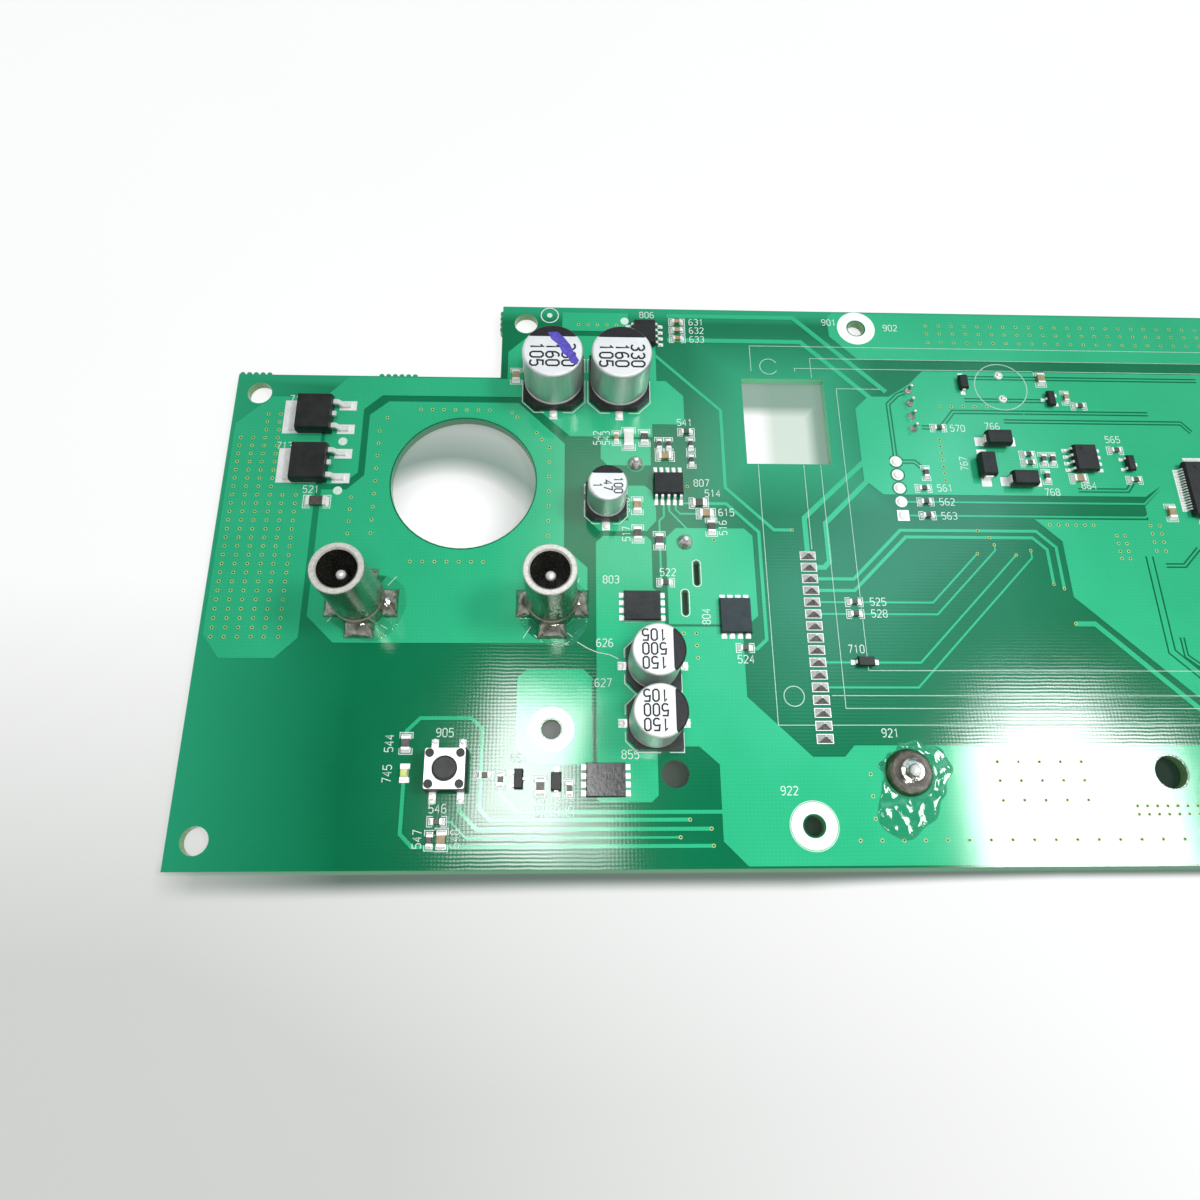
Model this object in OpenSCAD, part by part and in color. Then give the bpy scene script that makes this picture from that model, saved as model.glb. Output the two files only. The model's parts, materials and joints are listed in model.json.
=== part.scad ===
// Assembled circuit board: a stepped laminate with a round port and a square window,
// etched copper under green mask, surface parts, two coaxial jacks and a push switch.
// Places are millimetres from the front left corner of the laminate.

/* [Board] */
// Thickness of the laminate
board_t = 1.6; // [1.2:0.1:2]
// Thickness of the etched copper with its mask
copper_t = 0.06; // [0.04:0.01:0.1]
// Thickness of the tinned lands
land_t = 0.04; // [0.02:0.01:0.08]
// Length of the board from the wing's left edge to the right edge
board_len = 180; // [176:1:240]
// Depth of the main part from front to back
board_depth = 97; // [97:0.5:130]
// Distance from the back edge to the row of rear holes
rear_margin = 3.6; // [3.55:0.05:3.8]
// Laminate behind the rear hole of the wing
wing_gap = 1.65; // [1:0.05:4]
// Laminate to the left of the rear hole of the main part
step_gap = 2.15; // [1:0.05:3]

/* [Holes] */
// Diameter of the round port
port_d = 24; // [20:0.5:26]
// Width of the square window
window_w = 14.6; // [10:0.1:15]
// Depth of the square window
window_l = 16.9; // [10:0.1:17]
// Diameter of the plain screw holes on the wing and the rear edge
wing_hole_d = 4.1; // [3:0.1:4.5]
// Spacing of the two plain holes at the wing's left edge
wing_hole_pitch = 74.1; // [73:0.1:80]
// Diameter of the plain hole beside the medium capacitors
mid_hole_d = 4.2; // [3:0.1:4.5]
// Diameter of the plain hole near the front right
right_hole_d = 5; // [4:0.1:6]
// Diameter of the holes in the plated rings
ring_hole_d = 3; // [2.2:0.1:4]
// Outside diameter of the plated rings
ring_d = 6.9; // [5.5:0.1:7.2]
// Width of the two milled slots
slot_w = 0.8; // [0.6:0.1:1.2]
// Length of the two milled slots
slot_l = 4.1; // [3:0.1:5]

/* [Electrolytic capacitors] */
// Diameter of the two large cans
large_can_d = 10; // [8:0.1:11]
// Height of the large capacitors
large_can_h = 10.1; // [7:0.1:14]
// Diameter of the two medium cans
medium_can_d = 8; // [6.3:0.1:8.6]
// Height of the medium capacitors
medium_can_h = 10; // [6:0.1:14]
// Diameter of the small can
small_can_d = 6.3; // [5:0.1:7]
// Height of the small capacitor
small_can_h = 7.9; // [5:0.1:10]
// Height of the moulded capacitor bases
cap_base_h = 1.4; // [1:0.1:2]
// Depth of the can's seat in its base
cap_seat = 0.6; // [0.3:0.1:0.8]

/* [Coaxial jacks] */
// Distance between the two jacks
jack_pitch = 30; // [26:0.1:34]
// Height of the jack sleeves
jack_h = 15.3; // [12:0.1:18]
// Outside diameter of the sleeves
jack_d = 7.8; // [7:0.1:9]
// Inside diameter of the sleeves
jack_bore = 5.8; // [5:0.1:6.4]
// Height of the thicker foot of the sleeves
jack_foot_h = 3.4; // [2:0.1:5]
// Diameter of the centre pins
jack_pin_d = 1.7; // [1:0.1:2.4]
// Height of the centre pins
jack_pin_h = 13.1; // [8:0.1:15]

/* [Push switch] */
// Side of the switch body
switch_w = 6; // [5:0.1:7]
// Height of the switch with its cover
switch_h = 3.4; // [3:0.1:4]
// Height of the plunger's top
plunger_h = 4.3; // [4:0.1:7]
// Diameter of the plunger
plunger_d = 3.4; // [3:0.1:3.6]
// Travel of the plunger
plunger_travel = 0.25; // [0.1:0.05:0.3]

/* [Packages] */
// Length, width and height of the small chips
small_chip = [1.6, 0.8, 0.5];
// Length, width and height of the medium chips
medium_chip = [2, 1.25, 0.55];
// Length, width and height of the large chips
large_chip = [3.2, 1.6, 0.6];
// Side of the processor body
processor_w = 10; // [8:0.1:12]
// Pitch of the processor leads
processor_pitch = 0.5; // [0.4:0.05:0.6]
// Leads on each side of the processor
processor_leads_n = 16; // [8:1:16]
// Pitch of the ribbon lands
ribbon_pitch = 2; // [1.8:0.05:2.4]
// Number of the ribbon lands
ribbon_n = 16; // [8:1:16]
// Pitch of the pins in the rows
pin_pitch = 2.54; // [2:0.02:2.54]
// Diameter of the big soldered stud
stud_d = 2; // [1.6:0.1:3]
// Diameter of the solder on the stud
stud_solder_d = 7.2; // [5:0.1:8]

/* [Hidden] */

// Fits shared by the pieces
fit_gap = 0.05;
slide_gap = 0.15;
standoff = 0.08;
etch_r = 0.12;
isolation = 0.28;
hole_relief = 0.25;
copper_fine = 24;
fine = 48;
round_fine = 96;

// Levels
copper_z = board_t;
land_z = copper_z + copper_t;
seat_z = land_z + land_t;

// Holes: plain ones with their diameters, then the plated rings
wing_hole_x = 4;
wing_hole_y = 4.2;
wing_rear_y = wing_hole_y + wing_hole_pitch;
rear_row_y = board_depth - rear_margin;
rear_hole_x = 49.3;
plain_holes = [
  [wing_hole_x, wing_hole_y, wing_hole_d],
  [wing_hole_x, wing_rear_y, wing_hole_d],
  [rear_hole_x, rear_row_y, wing_hole_d],
  [73.3, 13.5, mid_hole_d],
  [149, 13.6, right_hole_d]
];
rings = [[54.7, 20.2], [93.5, 5.9], [109.1, rear_row_y]];
port_at = [39.6, 61.65];
window_at = [94.75, 74.05];
slots = [[77.9, 45.55], [75.85, 40.5]];

// Break-off nubs: centre X and Y of the first, step X and Y, count
nub_d = 0.9;
nub_step = 1.15;
nub_left_x = 0.6;
nub_middle_x = 24.5;
nub_rear_drop = 5;

// Capacitors: the second large one stands beside the first
base_margin = 0.35;
large_base = large_can_d + base_margin;
medium_base = medium_can_d + base_margin;
small_base = small_can_d + base_margin;
large_cap_gap = 1;
large_cap_at = [54.4, 80.5];
large_caps = [large_cap_at, large_cap_at + [large_base + large_cap_gap, 0]];
medium_cap_gap = 0.6;
medium_cap_at = [70.35, 21.1];
medium_caps = [medium_cap_at + [0, medium_base + medium_cap_gap], medium_cap_at];
small_cap = [63.3, 57.75];
cap_lead_t = 0.2;
cap_lead_w = 0.9;
cap_lead_reach = 0.8;
cap_lead_root = 0.7;

// Jacks
jack_left = [24.65, 40.15];
jack_right = jack_left + [jack_pitch, 0];
jack_foot_d = jack_d + 0.4;
jack_rim = 0.25;
insulator_h = 4.5;
jack_solder_reach = 1.45;
jack_solder_w = 4.2;
jack_solder_h = 1.7;

// Switch: levels and radii worked out from the body, the cover and the travel
switch_at = [39.5, 13.95];
cover_t = 0.3;
cover_w = switch_w - 0.15;
rivet_at = switch_w * 0.37;
rivet_d = 0.8;
rivet_head_d = 1.25;
rivet_head_h = 0.25;
cavity_floor = 0.8;
cavity_h = switch_h - cover_t;
flange_r = plunger_d / 2 + 0.3;
cavity_r = flange_r + slide_gap;
dome_t = 0.1;
dome_rise = 0.5;
flange_t = cavity_h - cavity_floor - dome_rise - dome_t - plunger_travel - 0.35;
terminal_x = 2.05;
terminal_w = 0.75;
terminal_t = 0.2;
terminal_reach = 1.35;

// Lead frames: reach past the body, foot length, height at the body, thickness, width
dual_lead = [1.05, 0.55, 0.7, 0.2, 0.42];
controller_lead = [1.25, 0.6, 0.7, 0.2, 0.42];
processor_lead = [1, 0.5, 0.65, 0.13, 0.24];
transistor_lead = [0.55, 0.3, 0.45, 0.12, 0.42];
signal_lead = [0.55, 0.3, 0.5, 0.12, 0.6];
power_lead = [2.7, 1.4, 0.95, 0.45, 0.85];

// Bodies: length X, width Y, height
dual_body = [3.9, 4.9, 1.5];
dual_pitch = 1.27;
controller_size = [4.9, 3.9, 1.5];
controller_pitch = 1.03;
controller_side_n = 5;
transistor_size = [1.3, 2.9, 1];
transistor_lead_y = 0.95;
signal_size = [2.7, 1.55, 1.1];
clamp_size = [4.3, 2.6, 2.1];
clamp_tab = [0.22, 1.4, 1];
power_size = [5.9, 6.6, 2.3];
power_lead_y = 2.286;
power_tab = [5.4, 5.3, 0.5];
power_tab_reach = 1.3;
fet_size = [5.9, 5, 1];
fet_lead = [0.35, 0.5, 0.25];
fet_pitch = 1.27;
processor_h = 1.4;
led_size = [2, 1.25, 0.4];
led_lens_h = 0.45;
draft = 0.14;
chip_end_base = 0.16;
chip_end_share = 0.11;

// Ribbon lands run forward from the first one, the row of pins back from its first
ribbon_at = [96.3, 48.7];
ribbon_land = [2.6, 1.5];
row_at = [113.1, 56.1];
header_at = [117, 72.7];
function ribbon_y(i) = ribbon_at[1] - i * ribbon_pitch;
function row_y(i) = row_at[1] + i * pin_pitch;

// Places: X, Y and turn
dual_chips = [[70.5, 91.1, 0], [145.8, 66.8, 0]];
controller_at = [73.75, 61.15];
fets = [[68.9, 39.8, 0], [83.7, 38.2, 90], [62.9, 12.6, 0]];
power_diodes = [[14.2, 73.6, 0], [14.2, 64.35, 0]];
transistors = [[50, 12.8, 0], [142.2, 78.8, 180], [153.8, 66.1, 0]];
signal_diodes = [[103.75, ribbon_y(9), 0], [55.55, 12.4, 90], [126.9, 81.9, 90]];
clamp_diodes = [[131, 70.3, 0], [128.3, 65.2, 90], [134.3, 62.6, 0]];
processor_at = [167.6, 61.2];
led_at = [33.2, 13.7];
small_resistors = [
  [103.1, ribbon_y(4), 0], [103.1, ribbon_y(5), 0], [72.8, 43.9, 0], [85, 33, 0],
  [117.2, row_y(2), 0], [117.2, row_y(1), 0], [117.2, row_y(0), 0], [118, 64.1, 90],
  [121.4, 72.9, 0], [38.3, 6.75, 0], [37.4, 4.1, 90], [45, 13.4, 0],
  [47.3, 12.7, 90], [57.5, 11.4, 90], [72.5, 69, 90], [74.1, 69, 90],
  [77.2, 71.5, 0], [77.9, 69.1, 90], [77.9, 66, 90], [147.3, 77.6, 0],
  [136.3, 67.8, 0], [136.3, 66.2, 0], [138.9, 66.9, 90], [140.5, 66.9, 90],
  [138.9, 63.6, 90], [154.2, 63.1, 0], [152, 68.8, 0]
];
medium_resistors = [
  [33.1, 18.1, 90], [78.8, 58.05, 0], [80.7, 53.7, 90], [68.5, 52.4, 90],
  [72, 51.2, 90], [53.2, 11.7, 90], [70, 70.3, 90]
];
large_resistors = [[15.8, 57.75, 0], [67.3, 70.1, 90]];
small_ceramics = [
  [76.4, 94.1, 0], [76.4, 92.3, 0], [76.4, 90.5, 0], [65.2, 70.2, 90], [145.2, 79.3, 90]
];
medium_ceramics = [
  [47.8, 82.3, 90], [68.5, 57.5, 90], [73.4, 66.8, 0], [79.9, 56.15, 0],
  [39.1, 4.2, 90], [141.3, 83.1, 90], [144.5, 63.3, 0], [159.2, 57, 90]
];

// Through pins: X, Y, diameter, height over the board, solder diameter, solder height
pin_d = 0.64;
transformer_pin_d = 1;
row_n = 5;
row_pad_d = 2;
row_pin_h = 0.3;
row_heap_d = 1.3;
row_heap_h = 0.22;
row_pins = [for (i = [0:row_n - 1])
  [row_at[0], row_y(i), pin_d, row_pin_h, row_heap_d, row_heap_h]];
header_pin_h = 2;
header_heap_d = 1.5;
header_heap_h = 0.8;
header_pins = [for (i = [0:3])
  [header_at[0], header_at[1] + i * pin_pitch, pin_d, header_pin_h, header_heap_d, header_heap_h]];
buzzer_at = [133.8, 78.9];
buzzer_pitch = 4.8;
buzzer_pin_h = 0.55;
buzzer_heap_d = 1.5;
buzzer_heap_h = 0.45;
buzzer_pins = [for (i = [0, 1])
  [buzzer_at[0], buzzer_at[1] + i * buzzer_pitch, pin_d, buzzer_pin_h, buzzer_heap_d, buzzer_heap_h]];
transformer_places = [[68.4, 65.3], [76.2, 51]];
transformer_pin_h = 1.9;
transformer_heap_d = 2.7;
transformer_heap_h = 1.4;
transformer_pins = [for (p = transformer_places)
  [p[0], p[1], transformer_pin_d, transformer_pin_h, transformer_heap_d, transformer_heap_h]];
pins = concat(row_pins, header_pins, buzzer_pins, transformer_pins);
pin_land_edge = 0.15;
stud_at = [108.5, 13.6];
stud_land_edge = 0.2;
stud_h = 3.5;
stud_solder_h = 2.4;

// Outline of the laminate
wing_len = rear_hole_x - wing_hole_d / 2 - step_gap;
wing_depth = wing_rear_y + wing_hole_d / 2 + wing_gap;
board_outline = [
  [0, 0], [board_len, 0], [board_len, board_depth], [wing_len, board_depth],
  [wing_len, wing_depth], [0, wing_depth]
];

// Copper areas, each an outline of its corners
edge = 0.3;
right_edge = board_len - edge;
track_end_gap = 6;
rear_edge = board_depth - edge;
wing_edge = wing_depth - edge;
left_area = [
  [0.7, 35], [3.6, 31.2], [12, 31.2], [15.3, 34.5], [15.3, 60], [15.3, 77.6], [6.2, 77.6], [0.7, 72.2]
];
anode_area = [
  [16.3, 61], [19.7, 61], [22, 63.2], [22, 75.3], [25, 78.1], [49, 78.1], [57.3, 70.5], [71.4, 70.5],
  [71.4, 73], [77, 73], [77, 78.7], [74, 81.7], [72.4, 81.7], [72.4, 90.9], [50, 90.9], [46.3, 87.3],
  [46.3, wing_edge], [19, wing_edge], [15.9, 78.4], [15.9, 70]
];
port_area = [
  [16.3, 38], [20.7, 33.7], [56.4, 33.7], [60.2, 37.5], [60.2, 46.4], [56.4, 50], [56.4, 69],
  [48.4, 76.9], [26.2, 76.9], [23.1, 74.2], [23.1, 62.7], [20.4, 60], [16.3, 60]
];
feedback_area = [[62.5, 66.2], [63.6, 65], [71, 65], [71, 70], [62.5, 70]];
supply_area = [
  [61, 54.2], [62.2, 52.9], [70, 52.9], [71.6, 54.8], [71.6, 57], [70.9, 60.3], [69.8, 61.2], [67, 61.2],
  [67, 54.8], [61, 54.8]
];
ground_area = [
  [61.6, 9.8], [62.1, 9.4], [69.7, 9.4], [70.7, 10.4], [70.7, 17.6], [77, 17.6], [80, 14.9], [80, 3.8],
  [83.5, edge], [right_edge, edge], [right_edge, 17.7], [100.7, 17.7], [99.1, 16], [94.2, 16],
  [84.8, 25.2], [84.8, 36.5], [72.5, 36.5], [72.5, 41.5], [70.7, 43], [70.7, 51.2], [69.9, 52],
  [62.8, 52], [61.6, 50.9]
];
drain_area = [
  [73.1, 36.9], [85.8, 36.9], [87.4, 38.3], [87.4, 52.2], [86.1, 53.5], [74.8, 53.5], [73.1, 51.8]
];
earth_area = [
  [49.4, 17.3], [52, 14.9], [60.9, 14.9], [60.9, 28.2], [59.6, 29.5], [50.8, 29.5], [49.4, 28.1]
];
rear_left_area = [[55.8, 92], [67.6, 92], [67.6, 95.9], [55.8, 95.9]];
rear_right_area = [
  [104, 91.6], [108.6, 86.9], [right_edge, 86.9], [right_edge, rear_edge], [105, rear_edge], [104, 95.9]
];
logic_area = [
  [107.2, 62.8], [110.2, 60], [155.5, 60], [158.5, 62], [158.5, 84.5], [120.1, 84.5], [117.4, 81.8],
  [113.4, 79.1], [109.7, 79.1], [107.2, 76.6]
];
processor_area = [
  [135.4, 55.6], [139.4, 51.6], [139.4, 41.8], [156.4, 25], [right_edge, 25], [right_edge, 84.5],
  [158.5, 84.5], [158.5, 61.5], [155, 58.2], [155, 55.6]
];
areas = [
  left_area, anode_area, port_area, feedback_area, supply_area, ground_area, drain_area,
  earth_area, rear_left_area, rear_right_area, logic_area, processor_area
];

// Tracks that feed an area or a land: width and corners
thin = 0.32;
medium = 0.55;
wide = 0.85;
feed_tracks = [
  [wide, [[96.3, ribbon_y(0)], [96.3, 55.5], [107.6, row_y(4)], [113.1, row_y(4)]]],
  [wide, [[97.4, ribbon_y(1)], [98.9, ribbon_y(1)], [99.8, 47.7], [99.8, 54.6], [108, 62.8]]],
  [medium, [[97.4, ribbon_y(2)], [103.5, ribbon_y(2)], [112.2, 53.4], [135.2, 53.4],
    [138.1, 50.5], [138.1, 43.2]]],
  [medium, [[97.4, ribbon_y(3)], [103.4, ribbon_y(3)], [113, 52.2], [134.4, 52.2],
    [136.5, 50.1], [136.5, 44]]],
  [thin, [[97.4, ribbon_y(4)], [116, ribbon_y(4)], [124.6, 49.3]]],
  [thin, [[97.4, ribbon_y(5)], [116.5, ribbon_y(5)], [127.7, 49.9], [127.7, 50.9]]],
  [thin, [[97.4, ribbon_y(9)], [112.7, ribbon_y(9)], [131.1, 49.1]]],
  [thin, [[97.4, ribbon_y(11)], [111.8, ribbon_y(11)], [133.7, 48.6], [133.7, 49.9]]],
  [wide, [[74.6, 95.5], [97.6, 95.5], [113, 80.1]]],
  [wide, [[74.6, 90.3], [98.6, 90.3], [110, 78.9]]],
  [medium, [[71.9, 87.4], [83.4, 75.9], [83.4, 61], [91.1, 53.3], [94.1, 53.3]]],
  [medium, [[80.2, 58], [83.4, 58], [88.5, 52.9], [88.5, 34.4], [86.9, 32.9], [86, 32.9]]],
  [thin, [[72.9, 58], [72.9, 55.6], [72.1, 54.8], [72.1, 44]]],
  [thin, [[73.8, 58], [73.8, 56.6], [76.6, 53.4]]],
  [thin, [[74.9, 58], [74.9, 56.8], [75.6, 56.1], [79, 56.1]]],
  [thin, [[75.9, 58], [78, 58]]],
  [thin, [[113.1, row_y(2)], [116.6, row_y(2)]]],
  [medium, [[33.1, 12.5], [33.1, 5], [34.9, 3.2], [78.5, 3.2]]],
  [medium, [[33.1, 17], [33.1, 20], [35, 21.9], [42.7, 21.9], [44.4, 20.2],
    [44.4, 8.5], [46, 6.9], [75.2, 6.9]]],
  [medium, [[41.4, 10.2], [41.4, 8.3], [44.1, 5.6], [78.3, 5.6]]],
  [thin, [[39.3, 6.7], [40.3, 6.7], [42.6, 4.4], [73.7, 4.4]]],
  [medium, [[47.3, 11.9], [47.3, 10.6], [49.9, 8], [80.2, 8]]],
  [wide, [[138.8, 37.2], [142, 37.2], [156.2, 23], [right_edge - track_end_gap, 23]]],
  [thin, [[113.1, row_y(1)], [155, row_y(1)], [159, 62.2]]],
  [thin, [[113.1, row_y(0)], [154.6, row_y(0)], [158, 59.5]]]
];
// Tracks that cross an area with a gap on each side
free_tracks = [
  [thin, [[113.1, row_y(4)], [113.1, 77.6], [115, 79.5], [117, 80.3]]],
  [thin, [[113.1, row_y(4)], [116.3, row_y(4)], [118, 64.6]]],
  [thin, [[118.5, 73], [121.9, 73], [124.5, 76.2], [159.5, 76.2]]],
  [thin, [[133.3, 74.4], [165, 74.4], [166.5, 72.6]]],
  [thin, [[126.9, 83.2], [170, 83.2]]],
  [thin, [[126.9, 78.6], [141, 78.6]]],
  [wide, [[153.6, 49], [153.6, 32.6], [157.5, 28.7], [172, 28.7]]],
  [thin, [[156.1, 47.4], [159.3, 47.4], [162.4, 50.5]]],
  [thin, [[155.8, 35], [155.8, 31.9], [158.4, 29.7], [172, 29.7]]],
  [thin, [[144, 61.1], [152.6, 61.1], [153.8, 62.6]]]
];

// Direction helpers for the track outlines
function unit(v) = v / norm(v);
function left_of(v) = [-v[1], v[0]];
function side_dir(p, i) = left_of(unit(p[i + 1] - p[i]));
function corner_dir(p, i) =
  let (a = side_dir(p, max(i - 1, 0)), b = side_dir(p, min(i, len(p) - 2)))
  (a + b) / (1 + a * b);
function track_outline(p, w) = concat(
  [for (i = [0:len(p) - 1]) p[i] + w / 2 * corner_dir(p, i)],
  [for (i = [len(p) - 1:-1:0]) p[i] - w / 2 * corner_dir(p, i)]
);

// Side view of a bent lead: out of the body, down to its foot
function gull_profile(lead) =
  let (knee = lead[0] - lead[1], bend = knee * 0.45, slope = lead[3] * 0.4)
  [
    [0, lead[2]], [bend, lead[2]], [knee, 0], [lead[0], 0], [lead[0], lead[3]],
    [knee + slope, lead[3]], [bend + slope, lead[2] + lead[3]], [0, lead[2] + lead[3]]
  ];

// Frame: the origin is under the middle of the board, on its underside
module on_board() {
  translate([-board_len / 2, -board_depth / 2, 0]) children();
}

module seated(at, turn = 0) {
  on_board() translate([at[0], at[1], seat_z]) rotate(turn) children();
}

module at_each(places) {
  for (p = places) seated([p[0], p[1]], p[2]) children();
}

module flat_at_each(places) {
  for (p = places) translate([p[0], p[1]]) rotate(p[2]) children();
}

module mirrored_pair() {
  children();
  rotate(180) children();
}

// A prism whose side view in X and Z is the given outline
module side_prism(outline, w) {
  translate([0, w / 2, 0]) rotate([90, 0, 0]) linear_extrude(w) polygon(outline);
}

// Side view of a moulded body that narrows above and below the band where its leads leave
lead_band = [0.37, 0.64];
function moulded_profile(l, h, band) = [
  [-l / 2 + (band[0] > 0 ? draft : 0), 0], [l / 2 - (band[0] > 0 ? draft : 0), 0],
  [l / 2, h * max(band[0], 0.05)], [l / 2, h * band[1]], [l / 2 - draft, h],
  [-l / 2 + draft, h], [-l / 2, h * band[1]], [-l / 2, h * max(band[0], 0.05)]
];

module moulded_body(size, lift = standoff, band = lead_band) {
  h = size[2] - lift;
  translate([0, 0, lift]) intersection() {
    side_prism(moulded_profile(size[0], h, band), size[1]);
    rotate(90) side_prism(moulded_profile(size[1], h, band), size[0]);
  }
}

module pin_one_dimple(size, d, depth = 0.08) {
  difference() {
    children();
    translate([-size[0] / 2 + d * 1.6, size[1] / 2 - d * 1.6, size[2] - depth])
      cylinder(d = d, h = size[2], $fn = fine);
  }
}

// Leads in a row along Y on the +X side of a body
module lead_row(body_l, lead, n, pitch) {
  for (i = [0:n - 1])
    translate([body_l / 2, (i - (n - 1) / 2) * pitch, 0]) side_prism(gull_profile(lead), lead[4]);
}

// Lands under such a row
land_toe = 0.3;
land_side = 0.1;
module land_row(body_l, lead, n, pitch) {
  start = body_l / 2 + lead[0] - lead[1] - land_side;
  for (i = [0:n - 1])
    translate([start, (i - (n - 1) / 2) * pitch - lead[4] / 2 - land_side])
      square([lead[1] + land_side + land_toe, lead[4] + 2 * land_side]);
}

// Chips: a longer chip has longer plated ends
chip_toe = 0.4;
chip_step = 0.04;
function chip_end(size) = chip_end_base + chip_end_share * size[0];

module chip_lands(size) {
  mirrored_pair()
    translate([size[0] / 2 - chip_end(size), -size[1] / 2 - land_side])
      square([chip_end(size) + chip_toe, size[1] + 2 * land_side]);
}

module chip_ends(size) {
  mirrored_pair()
    translate([size[0] / 2 - chip_end(size), -size[1] / 2, 0])
      cube([chip_end(size), size[1], size[2]]);
}

module chip_body(size) {
  translate([-size[0] / 2 + chip_end(size), -size[1] / 2 + chip_step, chip_step])
    cube([size[0] - 2 * chip_end(size), size[1] - 2 * chip_step, size[2] - 2 * chip_step]);
}

// Lands of the electrolytic capacitors, one at each end of the base along Y
cap_land_w = 1.3;
large_cap_toe = 0.8;
medium_cap_toe = 0.5;
small_cap_toe = 0.6;
module cap_lands(base, toe) {
  mirrored_pair()
    translate([-cap_land_w / 2, base / 2 - cap_lead_reach])
      square([cap_land_w, 2 * cap_lead_reach + toe]);
}

power_land = [2.9, 1.8];
power_land_heel = 0.6;
tab_land_toe = 1.3;
tab_land_side = 0.1;
module power_lands() {
  heel_x = power_size[0] / 2 + power_lead[0] - power_lead[1] - power_land_heel;
  for (s = [-1, 1]) translate([heel_x, s * power_lead_y - power_land[1] / 2]) square(power_land);
  translate([-power_size[0] / 2 - power_tab_reach - tab_land_toe, -power_size[1] / 2 + tab_land_side])
    square([power_tab[0] + tab_land_toe, power_size[1] - 2 * tab_land_side]);
}

fet_land = [1, 0.84];
fet_land_heel = 0.3;
module fet_lands() {
  mirrored_pair() for (i = [0:3])
    translate([fet_size[0] / 2 - fet_land_heel, (i - 1.5) * fet_pitch - fet_land[1] / 2]) square(fet_land);
}

clamp_land = [2, 1.7];
clamp_land_heel = 0.6;
module clamp_lands() {
  mirrored_pair()
    translate([clamp_size[0] / 2 - clamp_land_heel, -clamp_land[1] / 2]) square(clamp_land);
}

module transistor_lands() {
  land_row(transistor_size[0], transistor_lead, 1, 1);
  rotate(180) land_row(transistor_size[0], transistor_lead, 2, 2 * transistor_lead_y);
}

switch_land_side = 0.15;
switch_land_toe = 0.35;
module switch_lands() {
  mirrored_pair() for (s = [-1, 1])
    translate([s * terminal_x - terminal_w / 2 - switch_land_side, switch_w / 2])
      square([terminal_w + 2 * switch_land_side, terminal_reach + switch_land_toe]);
}

jack_land_heel = 0.5;
jack_land_edge = 0.12;
module jack_lands() {
  for (a = [0:90:270]) rotate(a)
    translate([jack_foot_d / 2 - jack_land_heel, -jack_solder_w / 2 - jack_land_edge])
      square([jack_solder_reach + jack_land_heel + jack_land_edge, jack_solder_w + 2 * jack_land_edge]);
}

// Round pads of the row of pins, with a square one at the front
module row_pads(edge = 0) {
  side = row_pad_d + 2 * edge;
  translate(row_at) square(side, center = true);
  for (i = [1:row_n - 1]) translate([row_at[0], row_y(i)]) circle(d = side, $fn = fine);
}

// Every tinned land, flat
module lands() {
  flat_at_each(concat(small_resistors, small_ceramics)) chip_lands(small_chip);
  flat_at_each(concat(medium_resistors, medium_ceramics)) chip_lands(medium_chip);
  flat_at_each(large_resistors) chip_lands(large_chip);
  flat_at_each(dual_chips) mirrored_pair() land_row(dual_body[0], dual_lead, 4, dual_pitch);
  translate(controller_at) rotate(90) mirrored_pair()
    land_row(controller_size[1], controller_lead, controller_side_n, controller_pitch);
  translate(processor_at) for (a = [0:90:270]) rotate(a)
    land_row(processor_w, processor_lead, processor_leads_n, processor_pitch);
  flat_at_each(transistors) transistor_lands();
  flat_at_each(signal_diodes) mirrored_pair() land_row(signal_size[0], signal_lead, 1, 1);
  flat_at_each(clamp_diodes) clamp_lands();
  flat_at_each(power_diodes) power_lands();
  flat_at_each(fets) fet_lands();
  for (p = large_caps) translate(p) cap_lands(large_base, large_cap_toe);
  for (p = medium_caps) translate(p) rotate(90) cap_lands(medium_base, medium_cap_toe);
  translate(small_cap) cap_lands(small_base, small_cap_toe);
  translate(led_at) rotate(90) chip_lands(led_size);
  translate(switch_at) switch_lands();
  for (p = [jack_left, jack_right]) translate(p) jack_lands();
}

module all_holes(extra) {
  for (h = plain_holes) translate([h[0], h[1]]) circle(d = h[2] + 2 * extra, $fn = fine);
  for (p = rings) translate(p) circle(d = ring_hole_d + 2 * extra, $fn = fine);
  translate(port_at) circle(d = port_d + 2 * extra, $fn = round_fine);
  translate(window_at) square([window_w + 2 * extra, window_l + 2 * extra], center = true);
  for (p = slots) translate(p) slot(extra);
  for (p = pins) translate([p[0], p[1]]) circle(d = p[2] + 2 * fit_gap, $fn = fine);
  translate(stud_at) circle(d = stud_d + 2 * fit_gap, $fn = fine);
}

module slot(extra) {
  w = slot_w + 2 * extra;
  square([w, slot_l - slot_w], center = true);
  for (s = [-1, 1]) translate([0, s * (slot_l - slot_w) / 2]) circle(d = w, $fn = fine);
}

module nub_row(start, step, n) {
  for (i = [0:n - 1]) translate(start + i * step) circle(d = nub_d, $fn = fine);
}

module laminate() {
  color("seagreen") on_board() linear_extrude(board_t) difference() {
    union() {
      polygon(board_outline);
      nub_row([nub_left_x, wing_depth], [nub_step, 0], 5);
      nub_row([nub_middle_x, wing_depth], [nub_step, 0], 6);
      nub_row([wing_len, board_depth - nub_rear_drop], [0, nub_step], 4);
    }
    all_holes(0);
  }
}

module copper_layer() {
  color("mediumseagreen") on_board() translate([0, 0, copper_z]) linear_extrude(copper_t)
    offset(delta = etch_r) offset(delta = -etch_r) difference() {
      copper_pattern();
      all_holes(hole_relief);
    }
}

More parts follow.
